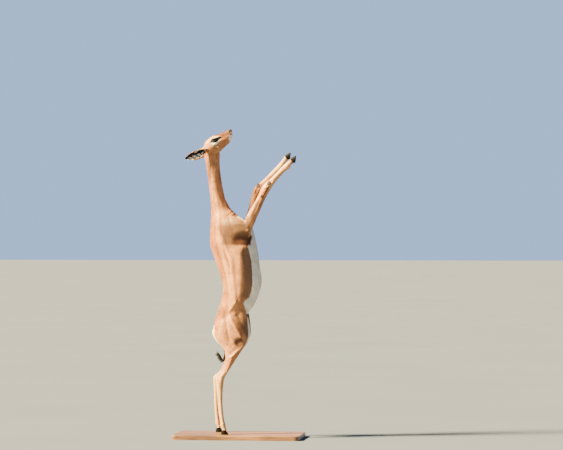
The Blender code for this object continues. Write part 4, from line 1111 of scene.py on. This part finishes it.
def settle(places, lift):
    """The places moved onto the hide, and then off it by lift."""
    laid = np.empty_like(places)
    for k, place in enumerate(places):
        near, normal, _, _ = surface.find_nearest(place.tolist())
        laid[k] = np.array(near) + np.array(normal) * lift[k]
    return laid


rng = np.random.default_rng(7)
print("hide area", round(float(skin_area.sum()), 3), "square metres")


# %% Make tufts
def make_tufts(root, normal, way, length, width, lift,
               rings=2, spread=0.2, rise=0.0, bend=(0, 0, 0), hug=True):
    """Closed tufts from roots: their points, their faces, and how many points each one has."""
    count = len(root)
    side = np.cross(normal, way)
    turn = rng.normal(0, spread, count)[:, None]
    way = unit(way * np.cos(turn) + side * np.sin(turn) + normal * rise)
    side = unit(np.cross(normal, way))
    over = unit(np.cross(way, side))
    parts = []
    for ring in range(rings + 1):
        t = ring / rings
        middle = root + way * (length * t)[:, None] + np.array(bend) * (length * t**2)[:, None]
        if ring == 0:
            middle = middle - normal * 0.0005
        elif hug:
            middle = settle(middle, lift * (0.8 + 0.4 * t))
        if ring == rings:
            parts.append(middle[:, None])
            break
        half = (width * 0.5 * (1 - 0.7 * t**1.6))[:, None]
        high = over * (width * 0.16 * (1 - 0.5 * t))[:, None]
        parts.append(np.stack([middle - side * half, middle + side * half, middle + high], 1))
    made = np.concatenate(parts, 1)
    each = made.shape[1]
    faces = [(0, 2, 1)]
    for ring in range(rings - 1):
        for k in range(3):
            a, b = 3 * ring + k, 3 * ring + (k + 1) % 3
            faces += [(a, b, b + 3), (a, b + 3, a + 3)]
    last = 3 * (rings - 1)
    faces += [(last + k, last + (k + 1) % 3, each - 1) for k in range(3)]
    faces = turned_out(made[0], np.array(faces))
    all_faces = (np.arange(count) * each)[:, None, None] + faces
    return made.reshape(-1, 3), all_faces.reshape(-1, 3), each


HALF_PATCH = 0.0015


def flat_place(root, name):
    """A root's place on the unwrapped tube of its part, where its tuft gets a patch: along and round."""
    _, travelled, way, centre = along_line(root, CENTRE_LINES[name])
    out_from = root - centre
    first = unit(np.cross(way, (0, 1, 0)))
    second = np.cross(way, first)
    angle = np.arctan2((out_from * second).sum(1), (out_from * first).sum(1))
    return np.stack([0.01 + 0.98 * travelled, 0.01 + 0.98 * (angle / (2 * math.pi) + 0.5)], 1)


def shade_like_hide(mesh, normal, share):
    """Turns the shading of the tufts towards the hide below, so that the coat shines as one surface."""
    faces = read(mesh.polygons, "normal", 3, np.float32)
    below = np.repeat(normal, len(faces) // len(normal), axis=0)
    upper = (faces * below).sum(1) > 0
    turned = np.where(upper[:, None], unit(share * below + (1 - share) * faces), faces)
    mesh.normals_split_custom_set(np.repeat(turned, 3, axis=0).tolist())


def hair_piece(name, root, normal, way, marks, unwrap, length, width, lift, sleek=0.75, **shape):
    """A piece of coat from roots and ways, with its markings and its flat map."""
    made, faces, each = make_tufts(root, normal, way, length, width, lift, **shape)
    mesh = mesh_from(name, made, faces)
    marks = {mark: np.repeat(values, each) for mark, values in marks.items()}
    rings = (each - 1) // 3
    marks["tip"] = np.tile(np.append(np.repeat(np.arange(rings) / rings, 3), 1.0), len(root))
    marks["tone"] = np.repeat(rng.random(len(root)), each)
    write_marks(mesh, marks)
    across = np.tile([-1.0, 1.0, 0.0] * rings + [0.0], len(root))
    spots = np.repeat(flat_place(root, unwrap), each, axis=0)
    spots = spots + HALF_PATCH * np.stack([2 * marks["tip"] - 1, across], 1)
    corner = read(mesh.loops, "vertex_index", 1, np.int32)[:, 0]
    flat_map = mesh.uv_layers.new(name="OFBake")
    flat_map.uv.foreach_set("vector", np.clip(spots[corner], 0.001, 0.999).astype(np.float32).ravel())
    shade_smooth(mesh)
    shade_like_hide(mesh, normal, sleek)
    mesh.materials.append(hair_finish)
    piece = show(mesh, name)
    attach(piece, "root")
    print(name, len(root), "tufts", len(mesh.polygons), "triangles")


def plant(name, count, weight, length, width, lift, unwrap, changed=None, **shape):
    """A piece of coat scattered over the hide, as thick as weight says."""
    roots = scatter(count, weight)
    marks = {mark: at_roots(values, roots) for mark, values in {**MARKS, **REGION_MARKS}.items()}
    marks.update({mark: np.full(count, value) for mark, value in (changed or {}).items()})
    size = (
        at_roots(length, roots) * rng.uniform(0.7, 1.3, count),
        at_roots(width, roots) * rng.uniform(0.8, 1.25, count),
        at_roots(lift, roots),
    )
    root, normal, way = at_roots(points, roots), unit(at_roots(normals, roots)), unit(at_roots(lie, roots))
    hair_piece(name, root, normal, way, marks, unwrap, *size, **shape)


bare = most(ramp(almond, 1.75, 1.45), nostril * 1.5, mouth_line, inner * (black > 0.3))
open_hide = 1 - np.clip(bare, 0, 1)
region = np.argmax(nearness, 1)


def on(name):
    """1 on one part of the hide, and 0 elsewhere and where no hair grows."""
    return open_hide * (region == PARTS.index(name))


leg_thin = ramp(z, 0.6, 0.42) * hind_share + ramp(down_foreleg, 0.3, 0.6) * fore_share
leg_thin = np.clip(leg_thin, 0, 1)
hair_length = 0.018 - 0.011 * leg_thin - 0.0105 * share["head"] - 0.003 * share["neck"]
hair_length = np.clip(hair_length, 0.0065, 0.02) - 0.002 * ramp(nose_way, 0.74, 0.78) * head
hair_length = np.where(ears_share > 0.5, 0.0075, hair_length)
hair_width = (0.105 - 0.03 * leg_thin) * hair_length + 0.0003
hair_lift = np.clip(0.042 * hair_length, 0.0003, 0.0008) * (1 + 0.5 * white)
back_line = np.interp(points[:, 2], (0.65, 0.9, 1.1, 1.3, 1.45), (-0.09, -0.03, -0.02, -0.05, -0.1))
on_back = (points[:, 0] < back_line).astype(float)
right_side = (points[:, 1] < 0).astype(float)
coat = hair_length, hair_width, hair_lift
SHARE = 1.0


def cover(piece, count, part, chosen=1.0, **shape):
    """The short coat of one part, or of the chosen points of it."""
    plant(piece, int(count * SHARE), on(part) * chosen, *coat, part, **shape)


cover("coat_back", 17000, "trunk", on_back, spread=0.14)
cover("coat_side_right", 16000, "trunk", (1 - on_back) * right_side, spread=0.14)
cover("coat_side_left", 16000, "trunk", (1 - on_back) * (1 - right_side), spread=0.14)
cover("coat_neck", 16500, "neck", spread=0.14)
cover("coat_head", 18000, "head", spread=0.14)
for word in ("right", "left"):
    cover("coat_foreleg_" + word, 9500, "foreleg_" + word, spread=0.1)
    cover("coat_hind_leg_" + word, 14000, "hind_" + word, spread=0.1)
    cover("coat_ear_" + word, 2600, "ear_" + word)

# %% [markdown]
# ## Long hair
#
# Four places carry longer hair that breaks the outline: the knees, the tail with its brush, the inside
# of the ears and the edge of the upper lids. It is made in the same way, mostly with more rings in each
# tuft, so that the hairs can bend, and it stands off the hide instead of hugging it.

# %% Knees, tail brush and ears
LONG = {"spread": 0.22, "hug": False}


def even(*sizes):
    """The same length, width and lift at every point of the hide."""
    return [np.full(len(points), size) for size in sizes]


knee_hair = ramp(knee_tuft, 0.3, 0.8) * fore_share * ramp(ears_share, 0.5, 0.1)
for word in ("right", "left"):
    part = "foreleg_" + word
    plant("knee_tuft_" + word, 300, knee_hair * on(part), *even(0.015, 0.0012, 0.0008), part,
          changed={"brown": 0.8, "white": 0.0, "pale": 0.0}, sleek=0.4, rings=3, rise=0.24,
          bend=(0.05, 0, 0.05), **LONG)
strands = np.where((np.arange(1500) % 2 == 0)[:, None], (-0.1, 0, 0.55), (-0.45, 0, -0.05))
brush = on("tail") * ramp(along["tail"], 0.6, 0.74)
plant("tail_brush", 1500, brush, *even(0.021, 0.0012, 0.001), "tail",
      changed={"black": 1.0, "white": 0.0}, sleek=0.4, rings=4, rise=0.24, bend=strands, **LONG)
above_brush = on("tail") * ramp(along["tail"], 0.86, 0.6)
plant("tail_hair", 2000, above_brush, *even(0.011, 0.0011, 0.0006), "tail", sleek=0.5, rise=0.04, hug=False)
rows_of_hair = ramp(np.cos(2 * math.pi * (5.0 * ear_t + 0.9 * ear_angle)), 0.0, 0.7)
upper_hair = 0.8 * hump(ear_angle + 0.52, 0.1) * ramp(ear_t, 0.55, 0.35)
lower_hair = ramp(ear_angle, 0.1, 0.4) * rows_of_hair * ramp(ear_t, 0.1, 0.2)
ear_hair = inner * (upper_hair + lower_hair) * ramp(ear_t, 0.9, 0.76)
for word in ("right", "left"):
    part = "ear_" + word
    here = ear_hair * (region == PARTS.index(part))
    plant("ear_hair_" + word, 620, here, *even(0.016, 0.0009, 0.0008), part,
          changed={"white": 0.75, "black": 0.1}, rings=3, rise=0.08, **LONG)

# %% [markdown]
# ## Eyes
#
# The eye of a gerenuk is large and nearly black, with a pupil that is a level oval. The ball is a fine
# sphere with a slight bulge for the cornea. Its colours are painted by how far a point is forward and up
# from the middle of the eye. A clear coat gives the wet gloss, and a thin tube along the lids gives the
# wet black edge that closes the eye to the skin.


# %% Eyeballs, lid edges and lashes
def eyeball(side):
    work = bmesh.new()
    bmesh.ops.create_icosphere(work, subdivisions=4, radius=1.0)
    mesh = bpy.data.meshes.new("eyeball")
    work.to_mesh(mesh)
    work.free()
    way = points_of(mesh)
    gaze = unit(FORWARD * 0.22 + np.array((0, 1, 0)) + UPWARD * 0.02)
    turn = np.degrees(np.arccos(np.clip(way @ gaze, -1, 1)))
    place = EYE_PLACE + way * (EYE_RADIUS - 0.0002 + 0.0007 * ramp(turn, 46, 30))[:, None]
    away = place - EYE_PLACE
    marks = {"eye_forward": away @ FORWARD / EYE_RADIUS, "eye_up": away @ UPWARD / EYE_RADIUS}
    put_points(mesh, place * (1, side, 1))
    if side < 0:
        mesh.flip_normals()
    write_marks(mesh, marks)
    shade_smooth(mesh)
    return mesh


def eye_finish():
    finish = Finish("eye_gloss", Roughness=0.06, Coat_Weight=1.0, Coat_Roughness=0.03, IOR=1.42)
    forward_of, up_of = finish.mark("eye_forward"), finish.mark("eye_up")
    flat_forward = forward_of - 0.2
    pupil = (flat_forward * 1.9) ** 2 + (up_of * 3.4) ** 2
    iris = flat_forward ** 2 + up_of ** 2
    fibres = finish.noise(finish.place((1, 1, 1)), 900.0, 4.0)
    brown = finish.mix(finish.slope(fibres, 0.3, 0.7), colour("1a0d07"), colour("0c0604"))
    shade = finish.mix(finish.slope(iris, 0.36, 0.56), brown, colour("0b0706"))
    shade = finish.mix(finish.slope(pupil, 1.15, 0.85), shade, colour("04060a"))
    return finish.done(shade, 0.05 + finish.slope(iris, 0.5, 0.9) * 0.08, fibres, 0.04, 0.0003)


def almond_point(angle, scale):
    """A place on the eyeball at an angle round the opening, scale times as far out as its edge."""
    u = OPENING_LONG * scale * math.cos(angle)
    v = OPENING_HIGH * scale * math.sin(angle) * (1 - 0.25 * math.cos(angle) ** 2) - OPENING_DROP
    out_by = math.sqrt(max(EYE_RADIUS**2 - u * u - v * v, 1e-8))
    return EYE_PLACE + FORWARD * u + UPWARD * v + np.array((0, out_by, 0))


def wet_finish():
    finish = Finish("wet_lid", Specular_IOR_Level=0.2)
    grain = finish.noise(finish.place(), 700.0)
    base = finish.mix(grain, colour("0d0a09"), colour("231a16"))
    return finish.done(base, 0.5 + grain * 0.25, grain, 0.3, 0.0006)


eye_gloss, wet_lid = eye_finish(), wet_finish()
LID_EDGE, LASHES = 0.0011, 70
for side, word in ((-1, "right"), (1, "left")):
    mesh = eyeball(side)
    mesh.materials.append(eye_gloss)
    ball = show(mesh, "eyeball_" + word)
    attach(ball, "root")
    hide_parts("eye_" + word)
    rows, around = 72, 8
    ring = []
    for angle in np.arange(rows) * 2 * math.pi / rows:
        middle = almond_point(angle, 1.03)
        middle = middle + unit(middle - EYE_PLACE) * 0.0005
        run = unit(almond_point(angle + 0.05, 1.03) - almond_point(angle - 0.05, 1.03))
        rise = unit(middle - EYE_PLACE)
        cross = np.cross(run, rise)
        for turn in np.arange(around) * 2 * math.pi / around:
            ring.append(middle + LID_EDGE * (rise * math.cos(turn) + cross * math.sin(turn)))
    at = np.arange(rows * around).reshape(rows, around)
    after, above = np.roll(at, -1, 1), np.roll(at, -1, 0)
    faces = np.stack([at, after, np.roll(above, -1, 1), above], -1).reshape(-1, 4)
    ring = np.array(ring) * (1, side, 1)
    mesh = mesh_from("lid_edge", ring, turned_out(ring, faces))
    shade_smooth(mesh)
    mesh.materials.append(wet_lid)
    edge = show(mesh, "lid_edge_" + word)
    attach(edge, "root")
    angles = rng.uniform(0.12, 0.9, LASHES) * math.pi
    root = np.array([almond_point(angle, 1.22) for angle in angles])
    normal = unit(root - EYE_PLACE)
    way = unit(0.75 * normal + 0.75 * UPWARD + np.cos(angles)[:, None] * 0.35 * FORWARD)
    flip = np.array((1, side, 1))
    dark = {mark: np.full(LASHES, float(mark in ("black", "face"))) for mark in (*MARKS, *REGION_MARKS)}
    hair_piece("lashes_" + word, (root + normal * 0.0016) * flip, normal * flip, way * flip, dark, "head",
               rng.uniform(0.006, 0.01, LASHES), np.full(LASHES, 0.0006), np.full(LASHES, 0.001),
               rings=4, spread=0.1, bend=UPWARD * 0.35, hug=False)

# %% [markdown]
# ## Hooves
#
# Each foot ends in two narrow pointed hooves with sloping walls, flat below. A hoof is a stack of rings
# whose toe and heel move with height. It is divided finely and gets faint growth rings, which run level
# round the wall, and worn edges that are paler than the wall.

# %% Hooves
HOOF_LENGTH, HOOF_HEIGHT, HOOF_WIDTH = 0.048, 0.03, 0.017
TOE_NARROWS, HEEL_DROPS, HOOF_SPLIT = 0.42, 0.12, 0.0008
GROWTH_SWELL, GROWTH_TURNS, AROUND_HOOF = 0.0025, 60, 36

# Height, place of the toe, place of the heel and width, as shares of the hoof's own
HOOF_RINGS = (
    (0.0, 0.5, -0.44, 0.9), (0.04, 0.52, -0.46, 0.97), (0.14, 0.5, -0.48, 1.0),
    (0.6, 0.3, -0.46, 0.94), (1.0, 0.12, -0.36, 0.78), (1.1, 0.08, -0.32, 0.68),
)
# The middle of each foot's sole, how far it is turned in degrees, and its side
FEET = {
    ("hind", "right"): ((-0.08, -0.11, 0.0303), 0, -1),
    ("hind", "left"): ((-0.148, 0.11, 0.0303), 0, 1),
    ("fore", "right"): ((0.382, -0.0515, 1.836), 84, -1),
    ("fore", "left"): ((0.334, 0.0515, 1.86), 84, 1),
}


def hoof_mesh(place, turn, shift):
    heights = np.concatenate([np.linspace(0, 0.14, 5), np.linspace(0.18, 1.1, 22)])
    levels, toes, heels, widths = zip(*HOOF_RINGS)
    angle = np.arange(AROUND_HOOF) * 2 * math.pi / AROUND_HOOF
    forth, across = np.cos(angle), np.sin(angle)
    rings = []
    for h in heights:
        toe, heel, wide = (float(np.interp(h, levels, column)) for column in (toes, heels, widths))
        x = HOOF_LENGTH * ((toe + heel) / 2 + (toe - heel) / 2 * forth)
        y = HOOF_WIDTH / 2 * wide * across * (1 - TOE_NARROWS * np.clip(forth, 0, 1) ** 2) + shift
        swell = 1 + GROWTH_SWELL * math.sin(h * GROWTH_TURNS)
        level = HOOF_HEIGHT * h * (1 - HEEL_DROPS * (1 - forth) / 2)
        rings.append(np.stack([x * swell, (y - shift) * swell + shift, level], 1))
    made = np.concatenate([*rings, rings[0].mean(0)[None], rings[-1].mean(0)[None]])
    c, s = math.cos(math.radians(turn)), math.sin(math.radians(turn))
    made = made @ np.array(((c, 0, s), (0, 1, 0), (-s, 0, c))) + np.array(place)
    mesh = mesh_from("hoof", made, turned_out(made, ring_faces(len(heights), AROUND_HOOF)))
    write_marks(mesh, {"height": np.concatenate([np.repeat(heights, AROUND_HOOF), [0.0, 1.1]])})
    shade_smooth(mesh)
    return mesh


def horn_finish():
    finish = Finish("hoof_horn", Specular_IOR_Level=0.06)
    height = finish.mark("height")
    grain = finish.noise(finish.place((1, 1, 0.25)), 420.0)
    wavy = height * 16.0 + grain * 0.8
    sockets = {"W": wavy, "Scale": 1.0, "Detail": 2.0}
    rings = finish.node("ShaderNodeTexNoise", {"noise_dimensions": "1D"}, sockets, "Fac")
    base = finish.mix(finish.slope(rings, 0.35, 0.7), colour("0b0807"), colour("1b1511"))
    worn = finish.slope(height + (grain - 0.5) * 0.12, 0.12, 0.0)
    base = finish.mix(worn * 0.6, base, colour("30261e"))
    return finish.done(base, 0.46 + rings * 0.16 + worn * 0.2, rings + grain * 0.4, 0.4, 0.0006)


horn = horn_finish()
for (leg, word), (place, turn, side) in FEET.items():
    for which, towards in (("inner", -1), ("outer", 1)):
        mesh = hoof_mesh(place, turn, side * towards * (HOOF_WIDTH + HOOF_SPLIT) / 2)
        mesh.materials.append(horn)
        claw = show(mesh, f"claw_{leg}_{word}_{which}")
        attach(claw, "root")
        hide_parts(f"hoof_{leg}_{word}_{which}")
print("hooves", 2 * len(FEET))

# %% [markdown]
# ## The display base
#
# The base is the plain wooden board of the solids. Only its finish is new: the grain of a wooden board
# is stretched noise along its length, bent by a slower noise, with fine dark pores and a satin varnish.


# %% Wood
def wood_finish():
    finish = Finish("stand_wood_oiled", Coat_Weight=0.25, Coat_Roughness=0.25)
    slow = finish.noise(finish.place((0.8, 3.0, 3.0)), 3.0, 2.0)
    lines = finish.noise(finish.place((0.9, 14.0, 14.0)), 9.0, 5.0, 0.6)
    pores = finish.noise(finish.place((14.0, 260.0, 260.0)), 3.0, 3.0)
    tint = finish.slope(lines + (slow - 0.5) * 0.8, 0.3, 0.72)
    base = finish.mix(tint, colour("5a3a22"), colour("8a5f3a"))
    dark = finish.slope(pores, 0.62, 0.74)
    base = finish.mix(dark * 0.55, base, colour("33200f"))
    rough = 0.42 + dark * 0.2 + (lines - 0.5) * 0.15
    return finish.done(base, rough, lines * 0.6 - dark * 0.8, 0.35, 0.0008)


nodes["stand_base"].material_slots[0].material = wood_finish()
print("base finished")

# %% [markdown]
# ## Camera, floor and light
#
# The camera stands 18 m away with a long lens, level with the chest, as in the photograph. The floor is
# a wide sheet of matt board. One sun with soft edges shines from the left, nearly as high as it is far,
# because the relief of a sleek coat only shows in light from the side. The world is bright near the
# horizon, where the camera sees it, and dimmer above, so that the shaded side stays darker.

# %% Camera
CAMERA_PLACE = (2.472, -17.832, 1.406)
CAMERA_TURN = math.radians(90), 0, math.radians(7)
LENS, SENSOR = 174.4, 36

camera_data = bpy.data.cameras.new("camera")
camera = bpy.data.objects.new("camera", camera_data)
bpy.context.scene.collection.objects.link(camera)
camera.location, camera.rotation_euler = CAMERA_PLACE, CAMERA_TURN
camera_data.lens, camera_data.sensor_width = LENS, SENSOR
bpy.context.scene.camera = camera
print("camera", tuple(round(v, 2) for v in camera.location))


# %% Floor
def floor_finish():
    finish = Finish("pale_board")
    cloudy = finish.noise(finish.place(), 0.6, 3.0)
    grain = finish.noise(finish.place(), 90.0, 2.0)
    base = finish.mix(cloudy, colour("4c505e"), colour("565a68"))
    return finish.done(base, 0.8 + (grain - 0.5) * 0.2, grain, 0.1, 0.001)


FLOOR_HALF = 90.0
corners = FLOOR_HALF * np.array(((-1, -1, 0), (1, -1, 0), (1, 1, 0), (-1, 1, 0)))
floor = show(mesh_from("floor", corners, np.array([(0, 1, 2, 3)])), "floor")
floor.data.materials.append(floor_finish())
print("floor", 2 * FLOOR_HALF, "m wide")

# %% Light
LOW_SKY = (*np.array((0.62, 0.92, 1.48)) * 0.74, 1)
HIGH_SKY = (*np.array((0.36, 0.62, 1.0)) * 0.24, 1)
SKY_FADE = 0.14, 0.34
SUN_STRENGTH, SUN_SPREAD = 54.0, math.radians(9)
SUN_COLOUR, SUN_FROM = (1.0, 0.85, 0.44), (-4.0, -1.5, 3.4)
bpy.context.scene.world = bpy.data.worlds.new("studio")
sky = Nodes(bpy.context.scene.world)
direction = sky.node("ShaderNodeTexCoord", output="Generated")
height = sky.node("ShaderNodeSeparateXYZ", {}, {0: direction}, "Z")
fading = {"Value": height, "From Min": SKY_FADE[0], "From Max": SKY_FADE[1]}
fade = sky.node("ShaderNodeMapRange", {}, fading, "Result")
sky.feed(sky.tree.nodes["Background"], "Color", sky.mix(fade, LOW_SKY, HIGH_SKY))

key_data = bpy.data.lights.new("key", "SUN")
key_data.energy, key_data.angle, key_data.color = SUN_STRENGTH, SUN_SPREAD, SUN_COLOUR
key = bpy.data.objects.new("key", key_data)
key.rotation_euler = Vector(SUN_FROM).to_track_quat("Z", "Y").to_euler()
bpy.context.scene.collection.objects.link(key)
print("light from", tuple(round(v, 2) for v in key.matrix_basis.col[2][:3]))
